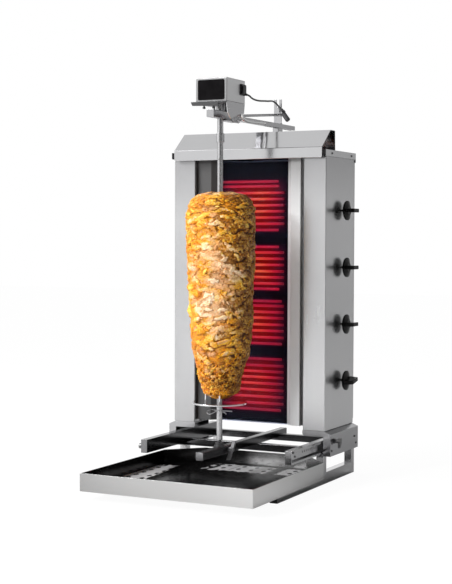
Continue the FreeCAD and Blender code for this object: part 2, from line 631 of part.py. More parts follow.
def drip_tray():
    a = tray_block(0.0, TRAY_Z0, TRAY_Z1)
    a = rounded(a, 2.0, lambda e: is_along(e, (0, 0, 1)))
    a = a.cut(tray_block(TRAY_T, TRAY_Z0 + TRAY_T, TRAY_Z1 + 5))
    # hem folded back to the inside of the rim
    rim = tray_block(TRAY_T, TRAY_Z1 - 9.0, TRAY_Z1).cut(tray_block(2 * TRAY_T, TRAY_Z1 - 12.0, TRAY_Z1 + 1))
    # ledge that holds the perforated plates
    led = tray_block(TRAY_T, TRAY_Z0 + TRAY_T, 35.0).cut(tray_block(9.0, TRAY_Z0, 40.0))
    mid = box(SEAM_X - 4.0, SEAM_X + 4.0, TRAY_Y0 + TRAY_T, TRAY_Y1 - TRAY_T, TRAY_Z0 + TRAY_T, 35.0)
    return fuse(a, rim, led, mid)


node("drip_tray", drip_tray())


def tray_plate(side):
    pts = tray_outline(4.0, 35.0)
    whole = face_of(pts)
    cut_x = SEAM_X + side * 1.2
    x0, x1 = (-400.0, cut_x) if side < 0 else (cut_x, 400.0)
    f = whole.common(Part.makePlane(x1 - x0, 800.0, V(x0, -600.0, 35.0))).Faces[0]
    holes = []
    xs = [-72.0 - 48.0 * k for k in range(5)] if side < 0 else [-17.0 + 46.0 * k for k in range(7)]
    for x in xs:
        for j in range(12):
            y = 15.0 - 48.0 * j
            if abs(x) + y < TRAY_HN + TRAY_Y1 - 18.0:
                holes.append(Part.Wire([Part.Circle(V(x, y, 35.0), V(0, 0, 1), 5.0).toShape()]))
    f = Part.makeFace([f.OuterWire] + holes, "Part::FaceMakerBullseye")
    return f.extrude(V(0, 0, 1.0))


node("tray_plates", group(tray_plate(-1), tray_plate(1)))


# ------------------------------------------------------- spit and what it turns
def spit_rod():
    s = fuse(cyl(SPIT_R, (0, SPIT_Y, 158.0), (0, 0, 1), TENON_Z - 158.0),
             cyl(TENON_R, (0, SPIT_Y, TENON_Z - 1.0), (0, 0, 1), SPIT_Z1 - TENON_Z + 1.0))
    tip = cone(3.0, SPIT_R, (0, SPIT_Y, 140.0), (0, 0, 1), 18.0)
    s = fuse(s, tip)
    s = s.cut(cyl(2.2, (-15.0, SPIT_Y, CLIP_Z), (1, 0, 0), 30))
    s = s.cut(cyl(2.0, (0.0, SPIT_Y - 12, 1041.8), (0, 1, 0), 24))
    # collar that carries the disc
    s = fuse(s, cyl(12.0, (0, SPIT_Y, 263.0), (0, 0, 1), DISC_Z - 263.0))
    return s


node("spit_rod", spit_rod())

slv = cyl(SLEEVE_R, (0, SPIT_Y, 1095.5), (0, 0, 1), 28.0)
slv = slv.cut(cyl(SPIT_R, (0, SPIT_Y, 1090.0), (0, 0, 1), 40.0))
slv = rounded(slv, 1.0, lambda e: e.Curve.TypeId == "Part::GeomCircle" and abs(e.Curve.Radius - SLEEVE_R) < 1e-6)
node("spit_sleeve", slv)


def disc_plate():
    d = cyl(DISC_R, (0, SPIT_Y, DISC_Z), (0, 0, 1), DISC_T)
    d = rounded(d, 1.6, lambda e: e.Curve.TypeId == "Part::GeomCircle")
    prongs = []
    for a in PRONGS:
        x, y = PRONG_C * math.cos(a), SPIT_Y + PRONG_C * math.sin(a)
        prongs.append(cyl(2.6, (x, y, DISC_Z + 1), (0, 0, 1), 52.0))
        prongs.append(cone(2.6, 0.6, (x, y, DISC_Z + 53.0), (0, 0, 1), 14.0))
    d = fuse(d, *prongs)
    return d.cut(cyl(SPIT_R, (0, SPIT_Y, DISC_Z - 1), (0, 0, 1), 10.0))


DISC = disc_plate()
node("disc_plate", DISC)


def meat():
    prof = [(0, 291.0), (42.0, 291.0), (54.0, 302.0), (62.0, 330.0), (69.5, 360.0), (76.0, 380.0), (84.0, 416.0),
            (92.0, 470.0), (98.0, 546.0), (102.5, 620.0), (105.5, 700.0), (108.5, 780.0), (109.5, 820.0),
            (108.5, 860.0), (104.0, 895.0), (92.0, 920.0), (74.0, 934.0), (40.0, 938.0), (0, 938.0)]
    f = face_of([(r, SPIT_Y, z) for r, z in prof])
    m = f.revolve(V(0, SPIT_Y, 0), V(0, 0, 1), 360)
    m = m.cut(cyl(SPIT_R, (0, SPIT_Y, 250.0), (0, 0, 1), 720.0))
    for a in PRONGS:
        x, y = PRONG_C * math.cos(a), SPIT_Y + PRONG_C * math.sin(a)
        m = m.cut(cyl(2.6, (x, y, 280.0), (0, 0, 1), DISC_Z + 53.0 - 280.0))
        m = m.cut(cone(2.6, 0.6, (x, y, DISC_Z + 53.0), (0, 0, 1), 14.0))
    return m


node("meat_cone", meat())


# hairpin clip through the spit's cross hole, a straight leg and a wavy leg
P = [(44.0, SPIT_Y, CLIP_Z), (9.0, SPIT_Y, CLIP_Z), (-16.0, SPIT_Y, CLIP_Z + 0.2), (-29.0, SPIT_Y - 2.0, CLIP_Z + 2.5),
     (-38.5, SPIT_Y - 7.0, CLIP_Z - 1.0), (-38.5, SPIT_Y - 12.0, CLIP_Z - 9.0), (-28.0, SPIT_Y - 13.5, CLIP_Z - 13.0),
     (-17.0, SPIT_Y - 13.5, CLIP_Z - 8.5), (-8.0, SPIT_Y - 12.0, CLIP_Z - 2.0), (3.0, SPIT_Y - 12.4, CLIP_Z + 1.0),
     (14.0, SPIT_Y - 12.0, CLIP_Z - 3.0), (22.0, SPIT_Y - 11.5, CLIP_Z - 2.2), (30.0, SPIT_Y - 11.5, CLIP_Z - 9.0)]
node("r_clip", tube_path(P, 1.6, "r_clip"))

# ----------------------------------------------------- upper arm and the drive
up = box(-12.5, 12.5, -275.0, -95.0, UP_Z0, UP_Z1)
up = rounded(up, 2.0, lambda e: is_along(e, (0, 1, 0)))
up = up.cut(cyl(11.0, (0, SPIT_Y, UP_Z0 - 1), (0, 0, 1), 40.0))
up = up.cut(box(-10.0, 10.0, -150.0, -90.0, UP_Z0 + 1.5, UP_Z0 + 16.5))
node("upper_tube", up)

ub = box(-10.0, 10.0, -150.0, 352.0, UP_Z0 + 1.5, UP_Z0 + 16.5)
ub = rounded(ub, 1.5, lambda e: is_along(e, (0, 1, 0)))
# groove for the guide's tongue, wide inside and narrow at the underside
ub = ub.cut(box(-7.4, 7.4, 118.0, 360.0, UP_Z0 + 3.5, UP_Z0 + 9.9))
ub = ub.cut(box(-3.3, 3.3, 118.0, 360.0, UP_Z0, UP_Z0 + 4.0))
node("upper_bar", ub)

# drive shaft under the motor and its sleeve joint with the spit
ds = cyl(DRIVE_R, (0, SPIT_Y, 1123.9), (0, 0, 1), 1229.0 - 1123.9)
ds = fuse(ds, cyl(14.0, (0, SPIT_Y, 1196.0), (0, 0, 1), 17.0))
ds = ds.cut(cyl(TENON_R + 0.06, (0, SPIT_Y, 1100.0), (0, 0, 1), 39.0))
node("drive_shaft", ds)


def plate3(a, b, c, d, t):
    """Flat four-cornered plate from three of its corners and a fourth pulled into their plane."""
    a, b, c, d = V(*a), V(*b), V(*c), V(*d)
    n = b.sub(a).cross(c.sub(a))
    n.normalize()
    d = d.sub(V(n).multiply(d.sub(a).dot(n)))
    f = Part.Face(Part.makePolygon([a, b, c, d, a]))
    return f.extrude(V(n).multiply(t))


def motor_bracket():
    z = MOT_Z0
    plate = box(-71.0, MOT_X, MOT_Y0 - 2.0, MOT_Y1, z - 4.0, z)
    # lip along the front edge of the plate
    lip = prism([(-72.0, MOT_Y0 - 5.0, z - 0.5), (-71.0, MOT_Y0 - 5.0, z - 4.5), (-66.8, MOT_Y0 - 5.0, z - 12.0),
                 (22.0, MOT_Y0 - 5.0, z - 15.4), (24.4, MOT_Y0 - 5.0, z - 0.5)], (0, 4.0, 0))
    # web on the right, tapering down, with its lower part folded in to the arm
    x0 = MOT_X - 2.5
    web = prism([(x0, MOT_Y0, z), (x0, MOT_Y1, z), (x0, -141.0, 1188.0), (x0, -166.7, 1186.1),
                 (x0, -234.6, 1165.5), (x0, -254.5, 1183.7), (x0, MOT_Y0, 1206.0)], (2.5, 0, 0))
    fold = plate3((MOT_X - 0.2, -234.0, 1168.5), (MOT_X - 0.2, -166.7, 1189.0), (14.0, -107.5, 1170.0),
                  (14.0, -136.2, 1162.2), 2.5)
    side = box(12.6, 15.6, -152.0, -104.0, 1161.5, 1176.0)
    saddle = box(-15.6, 15.6, -189.0, -95.0, 1164.5, UP_Z0)
    saddle = saddle.cut(cyl(12.0, (0, SPIT_Y, 1160.0), (0, 0, 1), 12.0))
    col = box(-12.5, 12.5, -182.0, MOT_Y1 - 8.0, UP_Z1, z - 3.0)
    b = fuse(plate, lip, web, fold, side, saddle, col)
    b = b.cut(cyl(15.0, (0, SPIT_Y, z - 30.0), (0, 0, 1), 60.0))
    b = b.cut(box(-12.5, 12.5, -276.0, -90.0, UP_Z0, UP_Z1))
    return b


node("motor_bracket", motor_bracket())


def motor_case():
    a = box(-MOT_XL, MOT_X, MOT_Y0, MOT_Y1 - 1.5, MOT_Z0, MOT_Z1)
    a = rounded(a, 2.0, lambda e: is_along(e, (0, 1, 0)) or
                (e.Vertexes[0].Point.y < MOT_Y0 + 1 and e.Vertexes[-1].Point.y < MOT_Y0 + 1))
    a = a.cut(box(-MOT_XL + 1.5, MOT_X - 1.5, MOT_Y0 + 1.5, MOT_Y1 + 5, MOT_Z0 + 1.5, MOT_Z1 - 1.5))
    a = a.cut(cyl(15.0, (0, SPIT_Y, MOT_Z0 - 5), (0, 0, 1), 20.0))
    a = a.cut(box(MOT_X - 5, MOT_X + 5, -167.0, -138.0, 1247.0, 1277.5))
    return a


node("motor_case", motor_case())
mc = box(-MOT_XL, MOT_X, MOT_Y1 - 1.5, MOT_Y1, MOT_Z0, MOT_Z1)
mc = rounded(mc, 2.0, lambda e: is_along(e, (0, 1, 0)))
for k in range(6):
    mc = mc.cut(box(-30.0, 30.0, MOT_Y1 - 5, MOT_Y1 + 5, 1232.0 + 8 * k, 1235.0 + 8 * k))
node("motor_cover", mc)

lab = box(-49.5, 43.0, MOT_Y0 - 0.8, MOT_Y0, 1223.0, 1285.5)
lab = rounded(lab, 5.0, lambda e: is_along(e, (0, 1, 0)))
node("blank_plate", lab)

gb = box(-32.0, 32.0, SPIT_Y - 30.0, SPIT_Y + 30.0, 1221.0, 1243.0)
gb = rounded(gb, 4.0, lambda e: is_along(e, (0, 0, 1)))
gb = fuse(gb, cyl(25.0, (0, SPIT_Y, 1243.0), (0, 0, 1), 40.0))
gb = gb.cut(cyl(DRIVE_R + 0.06, (0, SPIT_Y, 1215.0), (0, 0, 1), 14.2))
node("gear_motor", gb)

# plug in the motor case's right side
pl = box(MOT_X - 1.0, MOT_X + 6.0, -166.8, -138.2, 1247.2, 1277.3)
pl = fuse(pl, box(MOT_X, MOT_X + 3.0, -170.5, -136.8, 1244.5, 1279.0))
pl = rounded(pl, 1.2, lambda e: is_along(e, (1, 0, 0)))
pl = fuse(pl, box(MOT_X + 2.0, MOT_X + 8.5, -164.0, -142.0, 1250.0, 1273.0))
pl = fuse(pl, cyl(4.2, (MOT_X + 4.6, -142.0, 1248.5), (0, 1, 0), 9.0))
node("motor_plug", pl)

# bent handle rod beside the arm
H = [(28.6, -112.5, 1196.0), (28.5, -110.5, 1184.0), (28.2, -99.0, 1174.0), (28.0, -74.0, 1169.6),
     (27.6, -40.0, 1170.4), (27.0, 10.0, 1172.4), (26.4, 66.0, 1175.2)]
hr = tube_path(H, 5.2, "handle_rod")
hr = fuse(hr, box(12.6, 27.4, -93.0, -86.0, 1170.5, 1175.0).cut(box(0, 12.6, -100, -80, 1160, 1180)))
node("handle_rod", hr)


# forked post on the arm, with its stay rod
def fork_post():
    y0, y1 = 225.0, 228.0
    zb, zt = UP_Z0 + 16.5, 1268.0
    p = box(-12.5, 15.8, y0, y1, zb, zt)
    slot = fuse(box(-2.9, 7.1, y0 - 1, y1 + 1, 1245.0, zt + 1), cyl(5.0, (2.1, y0 - 1, 1245.0), (0, 1, 0), 5.0))
    p = p.cut(slot)
    p = rounded(p, 1.5, lambda e: is_along(e, (0, 1, 0)) and e.Vertexes[0].Point.z > zt - 1)
    return fuse(p, box(-10.0, 10.0, y0, y1 + 16.0, zb, zb + 3.0))


ROD_A, ROD_B = V(17.4, -118.0, 1184.6), V(11.0, 226.0, 1215.8)
rod = Part.makeCylinder(4.5, ROD_B.sub(ROD_A).Length, ROD_A, ROD_B.sub(ROD_A))
post = fuse(fork_post(), rod)
post = post.cut(box(-12.8, 12.8, -300.0, -94.7, UP_Z0, UP_Z1))

# inline connector, parked on the post by a clip
CA = V(11.3, 213.0, 1242.2)
CB = V(17.4, 213.5, 1231.8)
CE = V(47.1, 214.0, 1193.2)
CD = CE.sub(CB)
CL_LEN = CD.Length
CD.normalize()
body = Part.makeCylinder(8.4, CL_LEN, CB, CD)
body = rounded(body, 4.5, lambda e: e.Curve.TypeId == "Part::GeomCircle"
               and e.Vertexes[0].Point.sub(CB).dot(CD) > CL_LEN - 10)
body = rounded(body, 2.0, lambda e: e.Curve.TypeId == "Part::GeomCircle"
               and e.Vertexes[0].Point.sub(CB).dot(CD) < 10)
neck = Part.makeCone(3.6, 5.2, CB.sub(CA).Length + 0.5, CA, CB.sub(CA))
body = fuse(body, neck)
# motor lead: leaves the plug to the back, sags a little and drops into the fork
CORD_R = 2.9
CORD = [(56.1, -133.0, 1248.5), (56.0, -113.0, 1248.0), (51.0, -88.0, 1243.0), (45.5, -52.0, 1240.4),
        (41.6, -18.0, 1240.8), (37.0, 15.0, 1242.9), (31.8, 54.0, 1246.6), (26.0, 93.0, 1249.6),
        (19.5, 124.0, 1253.4), (11.5, 156.0, 1256.4), (3.0, 186.0, 1258.2), (5.4, 207.0, 1252.0),
        (CA.x - 0.2, CA.y, CA.z + 0.35)]
LEAD = tube_path(CORD, CORD_R, "motor_cord")
node("motor_cord", LEAD)
node("inline_connector", body.cut(LEAD))

clip = Part.makeCylinder(10.2, 7.0, CB.add(V(CD).multiply(9.0)), CD)
clip = fuse(clip, box(9.0, 24.0, 219.0, 225.5, 1217.0, 1228.0))
clip = clip.cut(Part.makeCylinder(8.4, CL_LEN + 12.0, CB.sub(V(CD).multiply(5.0)), CD))
clip = clip.cut(box(-20.0, 40.0, 225.5, 240.0, 1200.0, 1250.0))
node("fork_post", fuse(post, clip))

ms = [fuse(cyl(4.6, (x, y, 1196.8), (0, 0, 1), 6.2), cyl(2.6, (x, y, 1202.0), (0, 0, 1), MOT_Z0 - 4.0 - 1202.0))
      for x, y in ((-31.6, MOT_Y0 + 7.0), (1.7, MOT_Y0 + 7.0), (-50.0, MOT_Y1 - 12.0))]
for x in (-50.0, 45.0):
    for z in (1226.0, 1284.0):
        ms.append(cyl(3.0, (x, MOT_Y1, z), (0, 1, 0), 1.8))
node("motor_screws", group(*ms))

print(len(NODES), "nodes")
big = Part.makeCompound(list(NODES.values()))
bb = big.BoundBox
print("bounds", [round(v, 1) for v in (bb.XMin, bb.XMax, bb.YMin, bb.YMax, bb.ZMin, bb.ZMax)])
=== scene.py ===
import bpy
import math
import numpy as np
from mathutils import Matrix, Vector


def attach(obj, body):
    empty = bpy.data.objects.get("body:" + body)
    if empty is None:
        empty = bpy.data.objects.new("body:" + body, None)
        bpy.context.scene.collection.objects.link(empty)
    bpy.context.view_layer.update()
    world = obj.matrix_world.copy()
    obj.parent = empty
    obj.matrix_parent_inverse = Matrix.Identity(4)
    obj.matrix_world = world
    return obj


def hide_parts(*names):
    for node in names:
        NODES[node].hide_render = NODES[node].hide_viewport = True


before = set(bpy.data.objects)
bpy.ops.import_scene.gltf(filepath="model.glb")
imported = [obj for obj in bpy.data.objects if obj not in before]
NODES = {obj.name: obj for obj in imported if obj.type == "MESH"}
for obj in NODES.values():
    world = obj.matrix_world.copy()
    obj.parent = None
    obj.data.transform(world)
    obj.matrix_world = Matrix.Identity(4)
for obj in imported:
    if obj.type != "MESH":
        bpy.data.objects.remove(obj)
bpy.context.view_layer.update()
scene = bpy.context.scene
scene.view_settings.view_transform = "Standard"
scene.view_settings.look = "None"
scene.cycles.max_bounces = 10
scene.cycles.transparent_max_bounces = 12


# ------------------------------------------------------------------- camera
def make_camera():
    data = bpy.data.cameras.new("camera")
    data.lens = 83.8419
    data.sensor_width = 36.0
    data.clip_start, data.clip_end = 0.05, 100.0
    cam = bpy.data.objects.new("camera", data)
    scene.collection.objects.link(cam)
    r = Vector((0.8937276, 0.44859873, 0.00318564))
    u = Vector((-0.02108297, 0.03490746, 0.99916814))
    b = Vector((0.44811436, -0.89305131, 0.04065556))
    m = Matrix((r, u, b)).transposed().to_4x4()
    m.translation = Vector((1.938935, -4.025815, 0.79968))
    cam.matrix_world = m
    scene.camera = cam


make_camera()

# --------------------------------------------------------------- motor lead
CORD = [(0.0561, -0.133, 1.2485), (0.056, -0.113, 1.248), (0.051, -0.088, 1.243), (0.0455, -0.052, 1.2404),
        (0.0416, -0.018, 1.2408), (0.037, 0.015, 1.2429), (0.0318, 0.054, 1.2466), (0.026, 0.093, 1.2496),
        (0.0195, 0.124, 1.2534), (0.0115, 0.156, 1.2564), (0.003, 0.186, 1.2582), (0.0054, 0.207, 1.252),
        (0.0111, 0.213, 1.24255)]


def nurbs(name, points, radius, res=10):
    cu = bpy.data.curves.new(name, "CURVE")
    cu.dimensions = "3D"
    sp = cu.splines.new("NURBS")
    sp.points.add(len(points) - 1)
    for p, c in zip(sp.points, points):
        p.co = (*c, 1.0)
    sp.order_u = 3
    sp.use_endpoint_u = True
    sp.resolution_u = res
    cu.bevel_depth = radius
    cu.bevel_resolution = 4
    cu.use_fill_caps = True
    ob = bpy.data.objects.new(name, cu)
    scene.collection.objects.link(ob)
    return ob


lead = nurbs("motor_lead", CORD, 0.0029)


# ----------------------------------------------------------- node shorthand
class Mat:
    def __init__(self, name):
        self.m = bpy.data.materials.new(name)
        self.m.use_nodes = True
        self.t = self.m.node_tree
        self.t.nodes.clear()
        self.out = self.t.nodes.new("ShaderNodeOutputMaterial")
        self.co = self.t.nodes.new("ShaderNodeTexCoord").outputs["Object"]

    def n(self, kind, **kw):
        nd = self.t.nodes.new("ShaderNode" + kind)
        for k, v in kw.items():
            setattr(nd, k, v)
        return nd

    def link(self, a, b):
        self.t.links.new(a, b)

    def put(self, nd, **kw):
        for k, v in kw.items():
            s = nd.inputs[k.replace("_", " ")] if k.replace("_", " ") in nd.inputs else nd.inputs[k]
            if isinstance(v, bpy.types.NodeSocket):
                self.link(v, s)
            else:
                s.default_value = v
        return nd

    def mapped(self, scale, loc=(0, 0, 0), rot=(0, 0, 0)):
        mp = self.n("Mapping")
        mp.inputs["Scale"].default_value = scale
        mp.inputs["Location"].default_value = loc
        mp.inputs["Rotation"].default_value = rot
        self.link(self.co, mp.inputs["Vector"])
        return mp.outputs["Vector"]

    def noise(self, vec, scale=1.0, detail=3.0, rough=0.5, dist=0.0, out="Fac"):
        nd = self.n("TexNoise")
        nd.inputs["Scale"].default_value = scale
        nd.inputs["Detail"].default_value = detail
        nd.inputs["Roughness"].default_value = rough
        nd.inputs["Distortion"].default_value = dist
        self.link(vec, nd.inputs["Vector"])
        return nd.outputs[out]

    def voronoi(self, vec, scale=1.0, feature="F1", out="Distance", rand=1.0):
        nd = self.n("TexVoronoi", feature=feature)
        nd.inputs["Scale"].default_value = scale
        nd.inputs["Randomness"].default_value = rand
        self.link(vec, nd.inputs["Vector"])
        return nd.outputs[out]

    def ramp(self, fac, stops, interp="LINEAR"):
        nd = self.n("ValToRGB")
        cr = nd.color_ramp
        cr.interpolation = interp
        while len(cr.elements) < len(stops):
            cr.elements.new(0.5)
        for e, (p, c) in zip(cr.elements, stops):
            e.position = p
            e.color = (*c, 1.0) if len(c) == 3 else c
        self.link(fac, nd.inputs["Fac"])
        return nd.outputs["Color"]

    def remap(self, v, a, b, c, d, clamp=True):
        nd = self.n("MapRange", clamp=clamp)
        for i, x in zip((1, 2, 3, 4), (a, b, c, d)):
            nd.inputs[i].default_value = x
        self.link(v, nd.inputs[0])
        return nd.outputs[0]

    def math(self, op, a, b=None, c=None):
        nd = self.n("Math", operation=op)
        for i, x in enumerate((a, b, c)):
            if x is None:
                continue
            if isinstance(x, bpy.types.NodeSocket):
                self.link(x, nd.inputs[i])
            else:
                nd.inputs[i].default_value = x
        return nd.outputs[0]

    def mix(self, fac, a, b, mode="MIX"):
        nd = self.n("Mix", data_type="RGBA", blend_type=mode)
        for i, x in zip((0, 6, 7), (fac, a, b)):
            if isinstance(x, bpy.types.NodeSocket):
                self.link(x, nd.inputs[i])
            elif i == 0:
                nd.inputs[i].default_value = x
            else:
                nd.inputs[i].default_value = (*x, 1.0) if len(x) == 3 else x
        return nd.outputs[2]

    def bump(self, h, strength=0.2, dist=0.001, normal=None):
        nd = self.n("Bump")
        nd.inputs["Strength"].default_value = strength
        nd.inputs["Distance"].default_value = dist
        self.link(h, nd.inputs["Height"])
        if normal is not None:
            self.link(normal, nd.inputs["Normal"])
        return nd.outputs["Normal"]

    def edge(self, r=0.0008):
        nd = self.n("Bevel")
        nd.samples = 4
        nd.inputs["Radius"].default_value = r
        return nd.outputs["Normal"]

    def principled(self, **kw):
        p = self.n("BsdfPrincipled")
        for k, v in kw.items():
            s = p.inputs[k.replace("_", " ")]
            if isinstance(v, bpy.types.NodeSocket):
                self.link(v, s)
            elif isinstance(v, tuple) and len(v) == 3 and s.type == "RGBA":
                s.default_value = (*v, 1.0)
            else:
                s.default_value = v
        self.link(p.outputs["BSDF"], self.out.inputs["Surface"])
        return p

    def xyz(self, i):
        nd = self.n("SeparateXYZ")
        self.link(self.co, nd.inputs[0])
        return nd.outputs[i]


def satin(name, base, metal, rough, shade=None, top=None):
    """Blasted or painted sheet that shows no picture of its surroundings."""
    M = Mat(name)
    a = M.noise(M.mapped((700, 700, 90)), 1.0, 3.0, 0.6)
    w = M.noise(M.mapped((9, 9, 5)), 1.0, 3.0, 0.5, 0.4)
    col = M.mix(M.remap(w, 0.35, 0.7, 0.0, 0.5), base, tuple(v * 0.9 for v in base))
    if top:                       # painted shade, darker towards the top, from z = a to z = b
        col = M.mix(M.remap(M.xyz(2), top[0], top[1], 0.0, 1.0), col, tuple(v * top[2] for v in base))
    if shade:                     # painted shade in the gap along one side, from x = a to x = b
        col = M.mix(M.remap(M.xyz(0), shade[0], shade[1], 0.0, 1.0), col, (0.42, 0.42, 0.42))
    rg = M.math("ADD", M.remap(a, 0.3, 0.7, rough - 0.04, rough + 0.04, False), M.remap(w, 0.3, 0.7, -0.03, 0.03, False))
    M.principled(Base_Color=col, Metallic=metal, Roughness=rg, Normal=M.bump(a, 0.04, 0.0003, M.edge(0.0006)))
    return M.m


AX = {"x": (1, 0, 0), "y": (0, 1, 0), "z": (0, 0, 1)}


def steel(name, base=(0.60, 0.60, 0.61), rough=0.30, grain="z", aniso=0.5, grain_amp=0.05, smudge=0.04,
          bump=0.03, edge=0.0008, tone=0.02, painted_light_ramp=None, fold_shade=None):
    """Brushed stainless sheet: fine lines along one axis, smudges from wiping."""
    M = Mat(name)
    g = {"x": (3.0, 520.0, 520.0), "y": (520.0, 3.0, 520.0), "z": (520.0, 520.0, 3.0)}[grain]
    fine = M.noise(M.mapped(g), 1.0, 2.0, 0.6)
    g2 = tuple(v * (0.22 if v > 10 else 0.5) for v in g)
    mid = M.noise(M.mapped(g2, loc=(3.1, 7.7, 1.3)), 1.0, 2.0, 0.5)
    wipe = M.noise(M.mapped((5.0, 5.0, 5.0), loc=(1.7, 0.3, 4.1), rot=(0.3, 0.5, 0.2)), 1.0, 4.0, 0.6, 0.6)
    lines = M.math("ADD", M.math("MULTIPLY", fine, 0.6), M.math("MULTIPLY", mid, 0.4))
    rg = M.math("ADD", M.remap(lines, 0.3, 0.7, rough - grain_amp * 0.5, rough + grain_amp * 0.5, False),
                M.remap(wipe, 0.3, 0.7, -smudge * 0.5, smudge * 0.5, False))
    rg = M.math("MAXIMUM", rg, 0.03)
    lo = tuple(v * (1 - tone) for v in base)
    hi = tuple(min(1.0, v * (1 + tone)) for v in base)
    col = M.mix(M.remap(lines, 0.3, 0.7, 0.0, 1.0), lo, hi)
    col = M.mix(M.remap(wipe, 0.35, 0.75, 0.0, 0.25), col, tuple(v * 0.86 for v in base))
    if painted_light_ramp:                      # painted light and shade: the colour multiplied by a ramp along an axis, darker where less light falls and lighter where more falls
        for ax, a, b, ca, cb in (painted_light_ramp if isinstance(painted_light_ramp, list) else [painted_light_ramp]):
            f = M.remap(M.xyz("xyz".index(ax)), a, b, 0.0, 1.0)
            col = M.mix(1.0, col, M.mix(f, ca, cb), "MULTIPLY")
    if fold_shade:                      # painted shade along a bend of the sheet, dimming its highlight: height, half width, tone
        k = M.remap(M.math("ABSOLUTE", M.math("SUBTRACT", M.xyz(2), fold_shade[0])), fold_shade[1], fold_shade[1] * 0.6, 1.0, fold_shade[2])
        kk = M.n("CombineXYZ")
        for i in range(3):
            M.link(k, kk.inputs[i])
        col = M.mix(1.0, col, kk.outputs[0], "MULTIPLY")
    nrm = M.edge(edge) if edge else None
    nrm = M.bump(lines, bump, 0.0004, nrm)
    p = M.principled(Base_Color=col, Metallic=1.0, Roughness=rg, Anisotropic=aniso, Normal=nrm)
    tan = M.n("CombineXYZ")
    for i, v in enumerate(AX[grain]):
        tan.inputs[i].default_value = v
    if aniso:
        M.link(tan.outputs[0], p.inputs["Tangent"])
    return M.m


def polished(name, base=(0.66, 0.66, 0.67), rough=0.10, edge=0.0006, scratch=0.05):
    M = Mat(name)
    s = M.noise(M.mapped((60, 60, 9)), 1.0, 4.0, 0.7, 0.4)
    w = M.noise(M.mapped((9, 9, 9)), 1.0, 3.0, 0.5, 0.3)
    rg = M.math("ADD", M.remap(s, 0.3, 0.7, rough - scratch * 0.4, rough + scratch, False),
                M.remap(w, 0.4, 0.7, 0.0, scratch, False))
    rg = M.math("MAXIMUM", rg, 0.02)
    col = M.mix(M.remap(w, 0.4, 0.7, 0.0, 0.35), base, tuple(v * 0.88 for v in base))
    nrm = M.bump(s, 0.02, 0.0004, M.edge(edge) if edge else None)
    M.principled(Base_Color=col, Metallic=1.0, Roughness=rg, Normal=nrm)
    return M.m


def plastic(name, base, rough=0.4, grain=900.0, bump=0.12, edge=0.0005, spec=0.5, coat=0.0):
    M = Mat(name)
    a = M.noise(M.mapped((grain,) * 3), 1.0, 2.0, 0.6)
    w = M.noise(M.mapped((35, 35, 35)), 1.0, 3.0, 0.6, 0.2)
    col = M.mix(M.remap(w, 0.35, 0.7, 0.0, 1.0), base, tuple(min(1, v * 1.35 + 0.004) for v in base))
    rg = M.math("ADD", M.remap(w, 0.35, 0.7, rough - 0.05, rough + 0.07, False), M.remap(a, 0.3, 0.7, -0.03, 0.03, False))
    nrm = M.bump(a, bump, 0.00012, M.edge(edge) if edge else None)
    p = M.principled(Base_Color=col, Roughness=rg, Normal=nrm)
    p.inputs["Specular IOR Level"].default_value = spec
    if coat:
        p.inputs["Coat Weight"].default_value = coat
        p.inputs["Coat Roughness"].default_value = 0.05
    return M.m


def tray_steel():
    """Sheet that is bright outside, with painted shade inside and painted light on part of the rear wall and across
    the front face.
    """
    M = Mat("steel_tray")
    lines = M.noise(M.mapped((3.0, 520.0, 520.0)), 1.0, 2.0, 0.6)
    wipe = M.noise(M.mapped((5.0, 5.0, 5.0), loc=(1.7, 0.3, 4.1)), 1.0, 4.0, 0.6, 0.6)
    blotch = M.noise(M.mapped((11.0, 11.0, 26.0), loc=(0.4, 2.3, 0.1)), 1.0, 5.0, 0.65, 0.8)
    x, y, z = M.xyz(0), M.xyz(1), M.xyz(2)
    ax = M.math("ABSOLUTE", x)
    d = M.math("MINIMUM", M.math("SUBTRACT", 0.2910, ax), M.math("ADD", y, 0.567))
    d = M.math("MINIMUM", d, M.math("SUBTRACT", 0.061, y))
    d = M.math("MINIMUM", d, M.math("MULTIPLY", M.math("SUBTRACT", 0.247, M.math("ADD", ax, y)), 0.7071))
    inside = M.math("MULTIPLY", M.remap(d, 0.0010, 0.0014, 0.0, 1.0), M.remap(z, 0.0823, 0.0819, 0.0, 1.0))
    tone = M.remap(lines, 0.3, 0.7, 0.98, 1.02)
    # painted shade inside: darkest on the left, lighter to the right, made blotchy by noise
    left = M.remap(x, -0.04, 0.07, 0.05, 0.46)
    inside_shade = M.math("MULTIPLY", left, M.remap(blotch, 0.35, 0.7, 0.75, 1.35))
    v = M.math("ADD", M.math("MULTIPLY", M.math("SUBTRACT", 1.0, inside), 0.60), M.math("MULTIPLY", inside, inside_shade))
    # painted light: the rear wall lighter on its right part
    rear = M.math("MULTIPLY", M.remap(y, 0.052, 0.057, 0.0, 1.0), M.remap(x, -0.03, 0.01, 0.0, 0.32))
    v = M.math("ADD", v, M.math("MULTIPLY", inside, rear))
    # painted light and shade on the front face: darker on the left, lighter on the right
    front = M.remap(y, -0.5650, -0.5660, 0.0, 1.0)
    along = M.math("SUBTRACT", M.remap(x, -0.29, 0.29, 0.68, 1.20), 1.0)
    v = M.math("MULTIPLY", v, M.math("ADD", 1.0, M.math("MULTIPLY", front, along)))
    v = M.math("MULTIPLY", v, M.math("MULTIPLY", tone, M.remap(wipe, 0.35, 0.75, 1.0, 0.96)))
    cc = M.n("CombineXYZ")
    for i in range(3):
        M.link(v, cc.inputs[i])
    rg = M.math("ADD", M.remap(lines, 0.3, 0.7, 0.20, 0.24, False), M.math("MULTIPLY", inside, -0.06))
    M.principled(Base_Color=cc.outputs[0], Metallic=1.0, Roughness=rg, Normal=M.bump(lines, 0.015, 0.0004, M.edge(0.0008)))
    return M.m


